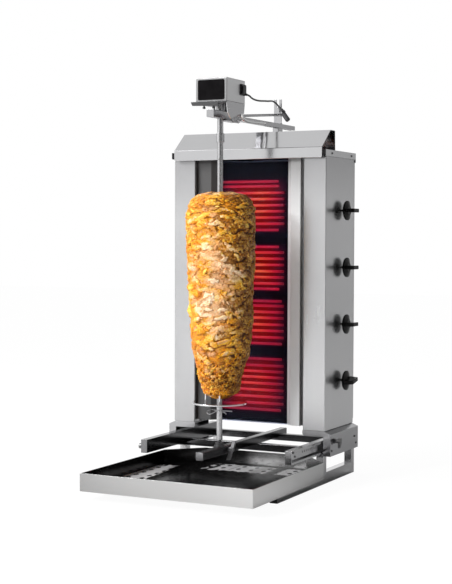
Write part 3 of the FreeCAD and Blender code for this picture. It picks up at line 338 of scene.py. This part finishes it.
def plate_steel():
    """Perforated sheet: dark over most of it and brighter in four patches, with painted shade in and round the holes.
    """
    M = Mat("steel_plates")
    a = M.noise(M.mapped((38.0, 38.0, 38.0)), 1.0, 4.0, 0.6, 0.6)
    f = M.noise(M.mapped((4.0, 480.0, 480.0)), 1.0, 2.0, 0.6)
    wob = M.remap(a, 0.3, 0.7, -0.009, 0.009, False)
    x, y = M.math("ADD", M.xyz(0), wob), M.math("ADD", M.xyz(1), wob)

    def patch(x0, x1, y0, y1, e, skew=0.0):
        xs = M.math("ADD", x, M.math("MULTIPLY", y, skew)) if skew else x
        m = M.math("MULTIPLY", M.remap(xs, x0, x0 + e, 0.0, 1.0), M.remap(xs, x1, x1 - e, 0.0, 1.0))
        return M.math("MULTIPLY", m, M.math("MULTIPLY", M.remap(y, y0, y0 + e, 0.0, 1.0), M.remap(y, y1, y1 - e, 0.0, 1.0)))

    light = M.math("MAXIMUM", patch(-0.400, -0.2297, -0.335, -0.066, 0.006, 0.12), patch(-0.108, 0.096, -0.085, 0.043, 0.010))
    light = M.math("MAXIMUM", light, M.math("MAXIMUM", patch(-0.128, -0.114, -0.080, 0.030, 0.004), patch(0.128, 0.184, -0.072, 0.045, 0.006)))
    nz = M.n("SeparateXYZ")
    tc = M.n("TexCoord")
    M.link(tc.outputs["Normal"], nz.inputs[0])
    hole_wall_shade = M.remap(M.math("ABSOLUTE", nz.outputs[2]), 0.9, 0.6, 0.0, 1.0)      # painted shade: the walls of the holes and edges made near-black
    col = M.mix(light, M.mix(a, (0.085, 0.085, 0.086), (0.16, 0.16, 0.162)), M.mix(f, (0.54, 0.54, 0.55), (0.62, 0.62, 0.63)))
    px, py = M.xyz(0), M.xyz(1)
    gx = M.math("MINIMUM",
                M.math("ADD", M.math("PINGPONG", M.math("ADD", px, 0.072 + 0.048 * 20), 0.024), M.remap(px, -0.0392, -0.0388, 0.0, 1.0)),
                M.math("ADD", M.math("PINGPONG", M.math("ADD", px, 0.017 + 0.046 * 20), 0.023), M.remap(px, -0.0388, -0.0392, 0.0, 1.0)))
    gy = M.math("PINGPONG", M.math("ADD", py, -0.015 + 0.048 * 40), 0.024)
    d = M.math("SQRT", M.math("ADD", M.math("POWER", gx, 2.0), M.math("POWER", M.math("MULTIPLY", gy, 0.62), 2.0)))
    ring = M.remap(d, 0.0076, 0.0058, 0.0, 1.0)                                # painted shade: a dark disc round each hole
    col = M.mix(ring, col, (0.030, 0.030, 0.030))
    light = M.math("MULTIPLY", light, M.math("SUBTRACT", 1.0, ring))
    col = M.mix(hole_wall_shade, col, (0.012, 0.012, 0.012))
    rg = M.math("ADD", M.remap(light, 0.0, 1.0, 0.12, 0.30), M.remap(a, 0.3, 0.7, -0.03, 0.04, False))
    p = M.principled(Base_Color=col, Metallic=M.remap(light, 0.0, 1.0, 0.95, 0.15), Roughness=rg, Normal=M.bump(f, 0.015, 0.0003))
    M.link(M.mix(light, (0.42, 0.42, 0.42), (1.0, 1.0, 1.0)), p.inputs["Specular Tint"])
    return M.m


# ---------------------------------------------------------------- materials
# painted shade: the columns darker towards the top, under the hood; the left column also darker towards the bottom
S_COL = steel("steel_columns", (0.64, 0.64, 0.65), 0.26, "z", 0.55, grain_amp=0.014, bump=0.003, smudge=0.025, tone=0.006,
              painted_light_ramp=("z", 0.90, 1.06, (1, 1, 1), (0.74, 0.74, 0.74)))
S_COL_L = steel("steel_column_left", (0.64, 0.64, 0.65), 0.26, "z", 0.55, grain_amp=0.014, bump=0.003, smudge=0.025, tone=0.006,
                painted_light_ramp=[("z", 0.85, 1.06, (1, 1, 1), (0.62, 0.62, 0.62)), ("z", 0.50, 0.12, (1, 1, 1), (0.74, 0.74, 0.74))])
# painted shade: the left strip made near-black
S_STRIP_L_SHADED = satin("steel_strip_left_painted_shade", (0.080, 0.080, 0.081), 0.15, 0.50)
# painted light: the right strip made near-white where the meat shades it; painted shade towards its top and in the
# gap by the column
S_STRIP = satin("steel_strip_right_painted_light", (0.97, 0.97, 0.975), 0.35, 0.50, (0.1776, 0.1790), (0.84, 1.02, 0.50))
S_BACK = steel("steel_back", (0.55, 0.55, 0.56), 0.34, "x", 0.5)
# painted shade: a dark line along the fold under the hood's slant, dimming its highlight
S_HOOD = steel("steel_hood", (0.61, 0.61, 0.62), 0.15, "x", 0.0, edge=None, tone=0.01, bump=0.015, fold_shade=(1.0859, 0.0011, 0.35))
# painted shade: the top cover's front edge made almost black under the hood
S_LID = steel("steel_lid", (0.60, 0.60, 0.61), 0.20, "x", 0.3, painted_light_ramp=("y", -0.0100, -0.0128, (1, 1, 1), (0.05, 0.05, 0.05)))
S_TRAY = tray_steel()
S_PLATE = plate_steel()
S_RAIL_R = steel("steel_rail_right", (0.50, 0.50, 0.51), 0.18, "y", 0.2)
# painted shade: the left rail made dark steel where it lies in shade under the body
S_RAIL = steel("steel_rail_left_painted_shade", (0.22, 0.22, 0.225), 0.16, "y", 0.2)
# painted shade: the cross bars made dark steel in the shade under the grill
S_BAR = steel("steel_cross_bars", (0.16, 0.16, 0.165), 0.20, "x", 0.2)
# painted shade: the centre arm made dark steel; painted light makes its front end lighter
S_CARM = steel("steel_centre_arm", (0.14, 0.14, 0.145), 0.22, "y", 0.2, painted_light_ramp=("y", -0.3398, -0.3404, (1, 1, 1), (2.6, 2.6, 2.6)))
S_LEVER = satin("steel_lever", (0.42, 0.42, 0.43), 0.5, 0.40)
S_HOUS = steel("steel_housings", (0.42, 0.42, 0.43), 0.22, "y", 0.3)
S_TUBE = steel("steel_tubes", (0.60, 0.60, 0.61), 0.18, "y", 0.2)
S_ARM = steel("steel_arm", (0.50, 0.50, 0.51), 0.20, "y", 0.3)
# painted shade: the bracket's front lip darkened
S_BRKT = steel("steel_bracket", (0.52, 0.52, 0.53), 0.24, "y", 0.3, painted_light_ramp=("y", -0.2632, -0.2622, (0.22, 0.22, 0.22), (1, 1, 1)))
# painted light: the motor box made lighter on its right side
S_MOTOR = steel("steel_motor_box", (0.42, 0.42, 0.425), 0.33, "x", 0.4, painted_light_ramp=("x", 0.0505, 0.0512, (1, 1, 1), (1.6, 1.6, 1.6)))
S_SPIT = satin("steel_spit", (0.60, 0.60, 0.61), 0.88, 0.27)
S_BEAR = polished("steel_bearing", (0.16, 0.16, 0.165), 0.32)
S_HAND = polished("steel_handle", (0.93, 0.93, 0.93), 0.30)
S_DISC = polished("steel_disc", (0.72, 0.72, 0.73), 0.05)
S_ZINC = polished("zinc_screws", (0.20, 0.20, 0.20), 0.30)
S_PAN = steel("steel_pan", (0.45, 0.45, 0.46), 0.42, "z", 0.3)
P_KNOB = plastic("knob_black", (0.003, 0.003, 0.003), 0.13, bump=0.02, spec=0.13)
P_BLACK = plastic("black_plastic", (0.012, 0.012, 0.013), 0.38)
P_PLATE = plastic("plate_black", (0.0025, 0.002, 0.0025), 0.55, spec=0.04)
P_CORD = plastic("cord_rubber", (0.028, 0.028, 0.030), 0.48, bump=0.2, edge=0)
P_CONN = plastic("connector_grey", (0.055, 0.055, 0.058), 0.42)
P_SWITCH = plastic("switch_body", (0.62, 0.59, 0.52), 0.5)
P_IRON = plastic("motor_iron", (0.16, 0.16, 0.17), 0.55)


ZONES = ((0.9818, 0.8222), (0.7665, 0.6276), (0.5874, 0.4465), (0.395, 0.2265))


def insulation():
    M = Mat("insulation_board")
    a = M.noise(M.mapped((160, 160, 160)), 1.0, 5.0, 0.7)
    x, z = M.xyz(0), M.xyz(2)
    total = None
    for top, bot in ZONES:
        mid, half = (top + bot) / 2, (top - bot) / 2 + 0.012
        d = M.math("ABSOLUTE", M.math("SUBTRACT", z, mid))
        f = M.remap(d, half, half - 0.030, 0.0, 1.0)
        total = f if total is None else M.math("MAXIMUM", total, f)
    # painted light: red glow from the bars painted onto the board as emission, strongest by each zone's middle
    sx = M.remap(M.math("ABSOLUTE", M.math("ADD", x, 0.008)), 0.124, 0.050, 0.0, 1.0)
    glow = M.math("MULTIPLY", total, sx)
    em = M.ramp(glow, [(0.0, (0.0, 0.0, 0.0)), (0.25, (0.045, 0.003, 0.010)), (0.6, (0.15, 0.002, 0.004)), (1.0, (0.24, 0.002, 0.001))])
    col = M.mix(a, (0.002, 0.003, 0.006), (0.005, 0.006, 0.011))
    p = M.principled(Base_Color=col, Roughness=0.95, Normal=M.bump(a, 0.4, 0.001))
    M.link(em, p.inputs["Emission Color"])
    p.inputs["Emission Strength"].default_value = 1.0
    return M.m


def heater(zi):
    """Red-hot bars, hottest in the middle of the zone and of each bar."""
    M = Mat("heater_glow_%d" % zi)
    top, bot = ZONES[zi - 1]
    x, z = M.xyz(0), M.xyz(2)
    k = M.math("ABSOLUTE", M.math("SUBTRACT", z, (top + bot) / 2))
    v = M.remap(k, (top - bot) / 2 + 0.004, (top - bot) / 2 - 0.045, 0.0, 1.0)
    h = M.remap(M.math("ABSOLUTE", M.math("ADD", x, 0.008)), 0.110, 0.035, 0.0, 1.0)
    w = M.noise(M.mapped((14, 14, 55), loc=(zi * 3.3, 0, 0)), 1.0, 2.0, 0.6)
    t = M.math("ADD", M.math("MULTIPLY", M.math("MULTIPLY", v, h), 0.75), M.remap(w, 0.3, 0.7, -0.10, 0.25, False))
    t = M.math("ADD", t, (0.03, 0.12, -0.02, -0.26)[zi - 1])
    em = M.ramp(t, [(0.0, (0.36, 0.001, 0.018)), (0.35, (0.60, 0.003, 0.022)), (0.70, (0.80, 0.030, 0.018)), (1.0, (0.95, 0.10, 0.025))])
    p = M.principled(Base_Color=(0.10, 0.02, 0.02), Roughness=0.7)
    M.link(em, p.inputs["Emission Color"])
    M.link(M.remap(M.math("ABSOLUTE", M.math("ADD", x, 0.008)), 0.116, 0.088, 0.30, 1.17), p.inputs["Emission Strength"])
    return M.m


def black_glass():
    M = Mat("black_glass")
    w = M.noise(M.mapped((12, 12, 12)), 1.0, 3.0, 0.5, 0.4)
    rg = M.remap(w, 0.35, 0.7, 0.015, 0.05)
    col = M.mix(w, (0.62, 0.68, 0.86), (0.66, 0.72, 0.92))
    p = M.principled(Base_Color=col, Roughness=rg)
    p.inputs["Transmission Weight"].default_value = 1.0
    p.inputs["IOR"].default_value = 1.09
    return M.m


def assign(mat, *names):
    for n in names:
        o = NODES[n]
        o.data.materials.clear()
        o.data.materials.append(mat)


assign(S_COL_L, "column_left")
assign(S_COL, "column_right")
assign(S_STRIP, "glass_strip_right")
assign(S_STRIP_L_SHADED, "glass_strip_left")
assign(S_BACK, "back_panel")
assign(S_HOOD, "hood")
assign(S_LID, "top_cover")
assign(S_TRAY, "drip_tray")
assign(S_PLATE, "tray_plates")
assign(S_RAIL, "slide_rail_left")
assign(S_RAIL_R, "slide_rail_right")
assign(S_HOUS, "rail_housing_left", "rail_housing_right")
assign(S_TUBE, "base_frame")
assign(S_BAR, "cross_bar_front", "cross_bar_rear")
assign(S_CARM, "centre_arm")
assign(S_LEVER, "lock_lever")
assign(S_ARM, "upper_tube", "upper_bar", "arm_guide", "fork_post")
assign(S_BRKT, "motor_bracket")
assign(S_MOTOR, "motor_case", "motor_cover")
assign(S_SPIT, "spit_rod", "spit_sleeve", "drive_shaft", "r_clip")
assign(S_BEAR, "bearing_cup")
assign(S_HAND, "handle_rod")
assign(S_DISC, "disc_plate")
assign(S_ZINC, "body_screws", "rail_bolts", "motor_screws", "clamp_screw")
assign(S_PAN, "heater_pan")
assign(P_KNOB, "knob_1", "knob_2", "knob_3", "knob_4")
assign(P_BLACK, "motor_plug", "cable_gland", "frame_end_caps")
assign(P_CONN, "inline_connector")
assign(P_PLATE, "blank_plate")
assign(P_SWITCH, "regulator_1", "regulator_2", "regulator_3", "regulator_4", "terminal_block")
assign(P_IRON, "gear_motor")
assign(insulation(), "insulation_board")
for i in (1, 2, 3, 4):
    assign(heater(i), "heater_zone_%d" % i)
assign(black_glass(), "ceramic_glass")

lead.data.materials.append(P_CORD)
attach(lead, "upper_arm")
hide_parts("motor_cord")


# --------------------------------------------------------------------- meat
def mesh_object(name, verts, faces, mat, smooth=True):
    me = bpy.data.meshes.new(name)
    me.from_pydata([tuple(v) for v in verts], [], [tuple(f) for f in faces])
    me.update()
    if smooth:
        me.polygons.foreach_set("use_smooth", [True] * len(me.polygons))
    ob = bpy.data.objects.new(name, me)
    scene.collection.objects.link(ob)
    if mat:
        me.materials.append(mat)
    return ob


def value_noise(u, v, nu, nv, seed, octaves=4, gain=0.5):
    """Smooth noise on a sheet that repeats in u over 0..1."""
    out = np.zeros_like(u)
    amp, tot = 1.0, 0.0
    for o in range(octaves):
        r = np.random.default_rng(seed + 101 * o)
        gu, gv = nu * 2 ** o, int(nv * 2 ** o) + 2
        g = r.random((gv + 1, gu))
        x = (u % 1.0) * gu
        y = np.clip(v, 0, 1) * (gv - 1)
        i, j = np.floor(x).astype(int) % gu, np.floor(y).astype(int)
        fx, fy = x - np.floor(x), y - np.floor(y)
        fx, fy = fx * fx * (3 - 2 * fx), fy * fy * (3 - 2 * fy)
        i1, j1 = (i + 1) % gu, np.minimum(j + 1, gv)
        out += amp * ((g[j, i] * (1 - fx) + g[j, i1] * fx) * (1 - fy) + (g[j1, i] * (1 - fx) + g[j1, i1] * fx) * fy)
        tot += amp
        amp *= gain
    return out / tot - 0.5


def blur(f, k):
    """Gaussian-like average of a sheet that repeats in its second direction."""
    w = np.exp(-0.5 * (np.arange(-2 * k, 2 * k + 1) / k) ** 2)
    w /= w.sum()
    out = np.zeros_like(f)
    for i, c in zip(range(-2 * k, 2 * k + 1), w):
        out += c * np.roll(f, i, 1)
    pad = np.pad(out, ((2 * k, 2 * k), (0, 0)), mode="edge")
    n = f.shape[0]
    res = np.zeros_like(f)
    for i, c in enumerate(w):
        res += c * pad[i:i + n]
    return res


def lay_flakes(H, ids, rim, edge, du, dv, count, a_rng, b_rng, thick, tilt, turn, seed, band=None):
    """Lay flat irregular flakes over each other, like shaved slices on a stack."""
    r = np.random.default_rng(seed)
    nz, nt = H.shape
    base = blur(H, 4)
    for _ in range(count):
        ci, cj = int(r.integers(nt)), int(r.integers(nz))
        if band is not None and r.random() > band[cj, ci] * 1.6:
            continue
        a, b = r.uniform(*a_rng), r.uniform(*b_rng)
        ang = r.normal(0, turn)
        hi, hj = int(1.35 * max(a, b) / du) + 1, int(1.35 * max(a * 0.8, b) / dv) + 1
        ii = np.arange(ci - hi, ci + hi + 1) % nt
        jj = np.arange(max(0, cj - hj), min(nz, cj + hj + 1))
        x = (np.arange(-hi, hi + 1) * du)[None, :]
        y = ((jj - cj) * dv)[:, None]
        c, s_ = math.cos(ang), math.sin(ang)
        p, q = (x * c + y * s_) / a, (-x * s_ + y * c) / b
        oi, oj = int(r.integers(nt)), int(r.integers(nz))
        wob = edge[np.ix_((jj + oj) % nz, (ii + oi) % nt)]
        rr = np.sqrt(p * p + q * q) + wob
        t = thick * r.uniform(0.6, 1.3)
        top = base[cj, ci] + t * (1.10 - np.clip(rr, 0, 1) ** 4.5) + tilt * t * (r.normal(0, 0.6) * p + (r.normal(0.25, 0.7)) * q)
        sub = H[np.ix_(jj, ii)]
        win = (rr < 1) & (top > sub)
        if not win.any():
            continue
        H[np.ix_(jj, ii)] = np.where(win, top, sub)
        for arr, val in ((ids, None), (rim, rr)):
            if arr is ids:
                cur = arr[np.ix_(jj, ii)]
                cur[win] = r.random(4)
                arr[np.ix_(jj, ii)] = cur
            else:
                arr[np.ix_(jj, ii)] = np.where(win, val, arr[np.ix_(jj, ii)])


MEAT_Z = [0.292, 0.300, 0.306, 0.315, 0.322, 0.345, 0.372, 0.400, 0.441, 0.478, 0.540, 0.640, 0.718, 0.800, 0.860, 0.895, 0.917, 0.930, 0.938]
MEAT_L = [0.026, 0.040, 0.052, 0.055, 0.057, 0.063, 0.0700, 0.0760, 0.0850, 0.0915, 0.0960, 0.1010, 0.1040, 0.1070, 0.1060, 0.1000, 0.088, 0.072, 0.040]
MEAT_R = [0.030, 0.044, 0.056, 0.060, 0.062, 0.067, 0.0740, 0.0820, 0.0930, 0.0975, 0.1010, 0.1050, 0.1080, 0.1095, 0.1085, 0.1050, 0.095, 0.080, 0.045]


def make_meat():
    nt, nz = ((520, 660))
    th = np.linspace(0, 2 * np.pi, nt, endpoint=False)
    w = np.linspace(0, 1, nz)
    # more rows at the rounded ends
    w = 0.5 - 0.5 * np.cos(np.pi * (0.12 + 0.76 * w)) / np.cos(np.pi * 0.12)
    Z = 0.291 + (0.938 - 0.291) * w
    T, ZZ = np.meshgrid(th, Z)
    U, W = T / (2 * np.pi), (ZZ - 0.291) / 0.647
    side = np.cos(T - math.radians(26.65))          # 1 on the side seen at the right from the front left, -1 opposite
    RL, RR = np.interp(ZZ, MEAT_Z, MEAT_L), np.interp(ZZ, MEAT_Z, MEAT_R)
    R = RL + (RR - RL) * (0.5 + 0.5 * side)
    du, dv = 0.60 / nt, 0.647 / nz
    edge = 0.85 * value_noise(U, W, 46, 56, 12, 4, 0.65) * 2
    H = 0.0052 * value_noise(U, W, 6, 7, 21, 3) * 2
    ids = np.full(H.shape + (4,), 0.5)
    rim = np.full(H.shape, 0.7)
    front = np.cos(T + math.radians(100))           # towards the shaved, paler side
    mid = np.clip(1.15 - np.abs(side + 0.08) / 0.85, 0, 1) * (front > -0.2)
    high = np.clip(1.25 - np.abs(W - 0.54) / 0.36, 0, 1)
    crisp = -0.42 * mid * high + value_noise(U, W, 8, 10, 205, 3) * 1.8 + 0.40 + 0.30 * side + 0.35 * np.clip(np.abs(W - 0.52) / 0.48 - 0.35, 0, 1)
    q = 1.0
    lay_flakes(H, ids, rim, edge, du, dv, int(900 * q), (0.014, 0.032), (0.0050, 0.0105), 0.0034, 0.75, 0.30, 31)
    big, brim = ids.copy(), rim.copy()
    lay_flakes(H, ids, rim, edge, du, dv, int(2600 * q), (0.006, 0.014), (0.0026, 0.0060), 0.0025, 0.8, 0.5, 47, crisp - 0.05)
    lay_flakes(H, ids, rim, edge, du, dv, int(6000 * q), (0.0025, 0.0065), (0.0018, 0.0036), 0.0014, 0.7, 1.0, 63, crisp - 0.20)
    warp = value_noise(U, W, 18, 22, 313, 3)
    wrinkle = np.abs(value_noise(U + 0.05 * warp, W + 0.06 * warp, 40, 95, 311, 4, 0.6))
    H += 0.0026 * (1 - 0.35 * mid * high) * (0.16 - wrinkle) + 0.0012 * (1 - 0.5 * mid * high) * value_noise(U, W, 110, 150, 317, 2)
    k = 4
    # painted shade in the crevices: darker where the surface lies below its surroundings and along thin noise
    # creases, more so on the right side away from the light
    c1 = np.clip((blur(H, k) - H) / 0.0015, 0, 1)
    c2 = np.clip((blur(H, 3 * k) - H) / 0.0040, 0, 1)
    crease = np.clip(1 - np.abs(value_noise(U + 0.06 * warp, W + 0.05 * warp, 16, 44, 331, 4, 0.6)) / 0.035, 0, 1)
    crevice_shade = np.clip(0.50 * c1 + 0.60 * c2 + 0.44 * crease * np.clip(crisp + 0.60, 0, 1), 0, 1) * (1 + 0.45 * side)
    H -= float(np.mean(H))
    end = np.clip(np.minimum(W, 1 - W) / 0.05, 0.15, 1)
    H = H * end
    RRR = np.minimum(R + H, 0.1125)
    X = RRR * np.cos(T)
    Y = -0.205 + RRR * np.sin(T)
    lift = 0.0035 * value_noise(U, W, 26, 20, 55, 3) * 2 * np.clip(1 - np.minimum(W, 1 - W) / 0.05, 0, 1)
    ZD = np.clip(ZZ + lift, 0.2905, 0.9395)
    verts = np.stack([X, Y, ZD], -1).reshape(-1, 3)
    idx = np.arange(nz * nt).reshape(nz, nt)
    a = idx[:-1]
    b = np.roll(idx[:-1], -1, 1)
    c = np.roll(idx[1:], -1, 1)
    d = idx[1:]
    quads = np.stack([a, b, c, d], -1).reshape(-1, 4)
    # closed by rings that run in to the spit
    extra, faces = [], [tuple(q) for q in quads.tolist()]
    base = nz * nt
    for k, (row, zz) in enumerate(((0, 0.2935), (nz - 1, 0.9365))):
        prev = idx[row]
        rr = RRR[row]
        for s in range(1, 9):
            t = s / 8.0
            r2 = rr * (1 - t) + 0.0088 * t
            dz = 0.0022 * np.sin(np.arange(nt) * 0.19 * (k + 1.3) + s * 2.1) * (1 - t)
            ring = np.stack([r2 * np.cos(th), -0.205 + r2 * np.sin(th), ZD[row] * (1 - t) + zz * t + dz], -1)
            extra.append(ring)
            cur = base + np.arange(nt)
            base += nt
            for q in range(nt):
                n = (q + 1) % nt
                faces.append((int(prev[n]), int(prev[q]), int(cur[q]), int(cur[n])) if k == 0 else
                             (int(prev[q]), int(prev[n]), int(cur[n]), int(cur[q])))
            prev = cur
        # inner wall hidden inside, closes the piece at the spit
        if k == 0:
            first_inner = prev
        else:
            for q in range(nt):
                n = (q + 1) % nt
                faces.append((int(prev[q]), int(prev[n]), int(first_inner[n]), int(first_inner[q])))
    verts = np.concatenate([verts] + extra)
    ob = mesh_object("meat_stack", verts, faces, None)
    # surface facts that the material reads
    me = ob.data
    nv = len(verts)

    def attr(name, field, fill):
        at = me.attributes.new(name, "FLOAT", "POINT")
        full = np.full(nv, fill, np.float32)
        full[: nz * nt] = field.reshape(-1)
        at.data.foreach_set("value", full)

    centre = 1 - np.clip(rim, 0, 1)
    crevice_shade = np.clip(crevice_shade * (1 - 0.55 * mid * high), 0, 1)
    pale = value_noise(U + 0.03 * warp, W, 12, 22, 120, 5, 0.7) * 2.0 + 0.05 + 0.14 * high + 0.64 * mid * high + 0.05 * front - 0.16 * np.clip(-side - 0.35, 0, 1)
    pale += (big[..., 3] - 0.5) * 0.40 + (ids[..., 3] - 0.5) * 0.25 + 0.30 * (centre - 0.35)
    # painted shade: browner towards the right side, turned away from the light
    brown = value_noise(U, W + 0.03 * warp, 16, 30, 140, 5, 0.7) * 2.3 + 0.28 + 0.52 * side + 0.10 * np.clip(side, 0, 1) - 0.10 * mid * high + (ids[..., 2] - 0.5) * 0.4
    brown += 0.38 * np.clip((rim - 0.55) / 0.45, 0, 1) + 0.40 * (crisp - 0.45)
    orange = value_noise(U, W, 10, 18, 160, 5, 0.7) * 1.8 + 0.44 - 0.20 * side + 0.50 * np.clip(0.30 - W, 0, 1) / 0.3
    orange += 0.30 * np.clip((W - 0.86) / 0.14, 0, 1) + (ids[..., 1] - 0.5) * 0.4 + 0.35 * (rim - 0.6)
    attr("painted_crevice_shade", crevice_shade, 0.6)
    attr("pale", np.clip(pale, 0, 1), 0.3)
    attr("brown", np.clip(brown, 0, 1), 0.7)
    attr("orange", np.clip(orange, 0, 1), 0.5)
    attr("tone", ids[..., 0], 0.5)
    return ob


def meat_material():
    M = Mat("roast_meat")

    def at(name):
        nd = M.n("Attribute", attribute_name=name)
        return nd.outputs["Fac"]

    crevice_shade, pale, brown, orange, tone = at("painted_crevice_shade"), at("pale"), at("brown"), at("orange"), at("tone")
    fine = M.noise(M.mapped((230, 230, 420)), 1.0, 4.0, 0.7, 0.6)
    fibre = M.noise(M.mapped((420, 420, 120), rot=(0.2, 0.4, 0.3)), 1.0, 3.0, 0.6, 0.8)
    spots = M.voronoi(M.mapped((240, 240, 330)), 1.0)
    var = M.math("ADD", M.math("MULTIPLY", fine, 0.75), M.math("MULTIPLY", tone, 0.28))
    gold = M.ramp(var, [(0.32, (0.56, 0.19, 0.004)), (0.5, (0.80, 0.37, 0.014)), (0.68, (0.98, 0.68, 0.13))])
    oran = M.ramp(var, [(0.32, (0.42, 0.10, 0.002)), (0.5, (0.74, 0.235, 0.004)), (0.68, (0.92, 0.44, 0.014))])
    beige = M.ramp(var, [(0.32, (0.70, 0.29, 0.09)), (0.5, (0.89, 0.52, 0.26)), (0.68, (1.0, 0.80, 0.58))])
    col = M.mix(M.remap(orange, 0.30, 0.90, 0.0, 1.0), gold, oran)
    col = M.mix(M.remap(pale, 0.30, 0.88, 0.0, 0.92), col, beige)
    col = M.mix(M.remap(brown, 0.45, 0.95, 0.0, 0.85), col, M.ramp(var, [(0.34, (0.040, 0.011, 0.001)), (0.5, (0.24, 0.078, 0.005)), (0.66, (0.66, 0.34, 0.07))]))
    # painted shade in the crevices: brown, then near-black where deepest
    crevice_brown = M.ramp(fine, [(0.3, (0.28, 0.075, 0.004)), (0.7, (0.56, 0.20, 0.012))])
    dark = M.ramp(fine, [(0.3, (0.022, 0.006, 0.0015)), (0.7, (0.11, 0.030, 0.004))])
    col = M.mix(M.remap(M.math("ADD", crevice_shade, M.remap(fibre, 0.35, 0.7, -0.08, 0.12, False)), 0.10, 0.55, 0.0, 0.70), col, crevice_brown)
    col = M.mix(M.remap(M.math("ADD", crevice_shade, M.remap(fibre, 0.35, 0.7, -0.10, 0.14, False)), 0.42, 0.95, 0.0, 0.95), col, dark)
    char = M.math("MULTIPLY", M.remap(spots, 0.16, 0.06, 0.0, 1.0), M.remap(brown, 0.35, 0.7, 0.0, 0.55))
    col = M.mix(char, col, (0.05, 0.016, 0.004))
    rg = M.math("ADD", M.remap(fine, 0.3, 0.7, 0.18, 0.36), M.remap(crevice_shade, 0.2, 0.9, 0.0, 0.3))
    h = M.math("ADD", M.math("MULTIPLY", fine, 0.7), M.math("MULTIPLY", fibre, 0.3))
    nrm = M.bump(h, 1.0, 0.0016)
    p = M.principled(Base_Color=col, Roughness=rg, Normal=nrm)
    p.inputs["Specular IOR Level"].default_value = 0.36
    p.inputs["Subsurface Weight"].default_value = 0.12
    p.inputs["Subsurface Radius"].default_value = (0.010, 0.004, 0.002)
    p.inputs["Subsurface Scale"].default_value = 0.5
    return M.m


meat = make_meat()
meat.data.materials.append(meat_material())
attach(meat, "spit")
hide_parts("meat_cone")


# ------------------------------------------------------------- studio, floor
def make_stage():
    me = bpy.data.meshes.new("floor")
    s = 14.0
    me.from_pydata([(-s, -s, -0.0004), (s, -s, -0.0004), (s, s, -0.0004), (-s, s, -0.0004)], [], [(0, 1, 2, 3)])
    fl = bpy.data.objects.new("floor", me)
    scene.collection.objects.link(fl)
    M = Mat("floor_white")
    d = M.n("BsdfDiffuse")
    d.inputs["Color"].default_value = (0.07, 0.07, 0.07, 1)
    e = M.n("Emission")
    e.inputs["Color"].default_value = (1, 1, 1, 1)
    e.inputs["Strength"].default_value = 0.955
    a = M.n("AddShader")
    M.link(d.outputs[0], a.inputs[0])
    M.link(e.outputs[0], a.inputs[1])
    plain = M.n("BsdfDiffuse")
    plain.inputs["Color"].default_value = (0.75, 0.75, 0.75, 1)
    lp = M.n("LightPath")
    mx = M.n("MixShader")
    M.link(lp.outputs["Is Camera Ray"], mx.inputs[0])
    M.link(plain.outputs[0], mx.inputs[1])
    M.link(a.outputs[0], mx.inputs[2])
    M.link(mx.outputs[0], M.out.inputs["Surface"])
    me.materials.append(M.m)

    w = bpy.data.worlds.new("studio")
    scene.world = w
    w.use_nodes = True
    t = w.node_tree
    t.nodes.clear()
    out = t.nodes.new("ShaderNodeOutputWorld")
    bg = t.nodes.new("ShaderNodeBackground")
    tc = t.nodes.new("ShaderNodeTexCoord")

    def math_(op, x, y):
        nd = t.nodes.new("ShaderNodeMath")
        nd.operation = op
        for i, v in enumerate((x, y)):
            if isinstance(v, bpy.types.NodeSocket):
                t.links.new(v, nd.inputs[i])
            else:
                nd.inputs[i].default_value = v
        return nd.outputs[0]

    def lobe(direction, lo, hi, value):
        """A soft patch of light in one direction of the studio."""
        dot = t.nodes.new("ShaderNodeVectorMath")
        dot.operation = "DOT_PRODUCT"
        dot.inputs[1].default_value = Vector(direction).normalized()
        t.links.new(tc.outputs["Generated"], dot.inputs[0])
        mr = t.nodes.new("ShaderNodeMapRange")
        mr.interpolation_type = "SMOOTHSTEP"
        mr.inputs[1].default_value, mr.inputs[2].default_value = lo, hi
        mr.inputs[3].default_value, mr.inputs[4].default_value = 0.0, value
        t.links.new(dot.outputs["Value"], mr.inputs[0])
        return mr.outputs[0]

    total = None
    for L in STUDIO:
        v = lobe(*L)
        total = v if total is None else math_("ADD", total, v)
    total = math_("ADD", total, AMBIENT)
    lp = t.nodes.new("ShaderNodeLightPath")
    mx = t.nodes.new("ShaderNodeMix")
    mx.data_type = "FLOAT"
    t.links.new(lp.outputs["Is Camera Ray"], mx.inputs[0])
    t.links.new(total, mx.inputs[2])
    mx.inputs[3].default_value = 1.0
    t.links.new(mx.outputs[0], bg.inputs["Strength"])
    bg.inputs["Color"].default_value = (1, 1, 1, 1)
    t.links.new(bg.outputs[0], out.inputs["Surface"])

    def area(name, loc, target, sx, sy, power, glossy):
        d = bpy.data.lights.new(name, "AREA")
        d.shape = "RECTANGLE"
        d.size, d.size_y = sx, sy
        d.energy = power
        o = bpy.data.objects.new(name, d)
        scene.collection.objects.link(o)
        o.location = loc
        o.rotation_mode = "QUATERNION"
        o.rotation_quaternion = (Vector(target) - Vector(loc)).to_track_quat("-Z", "Y")
        o.visible_camera = False
        o.visible_glossy = glossy
        return o

    for k, L in enumerate(LIGHTS):
        area("softbox_%d" % (k + 1), *L)


AMBIENT = 0.04
STUDIO = [((-0.75, -0.65, 0.10), 0.58, 0.88, 0.95),       # left and front left
          ((-0.448, 0.894, 0.10), 0.80, 0.95, 0.90),      # low, behind on the left
          ((0.89, 0.30, 0.05), 0.75, 0.95, 0.40),         # right
          ((0.448, 0.894, 0.05), 0.85, 0.97, 0.44),       # back right
          ((-0.448, 0.141, 0.882), 0.55, 0.90, 0.80)]      # overhead
LIGHTS = [((-2.0, -2.1, 3.0), (0, -0.1, 0.6), 1.5, 1.5, 90, True),
          ((-1.2, -3.5, 2.0), (0, -0.2, 0.6), 0.4, 0.4, 80, False)]
make_stage()
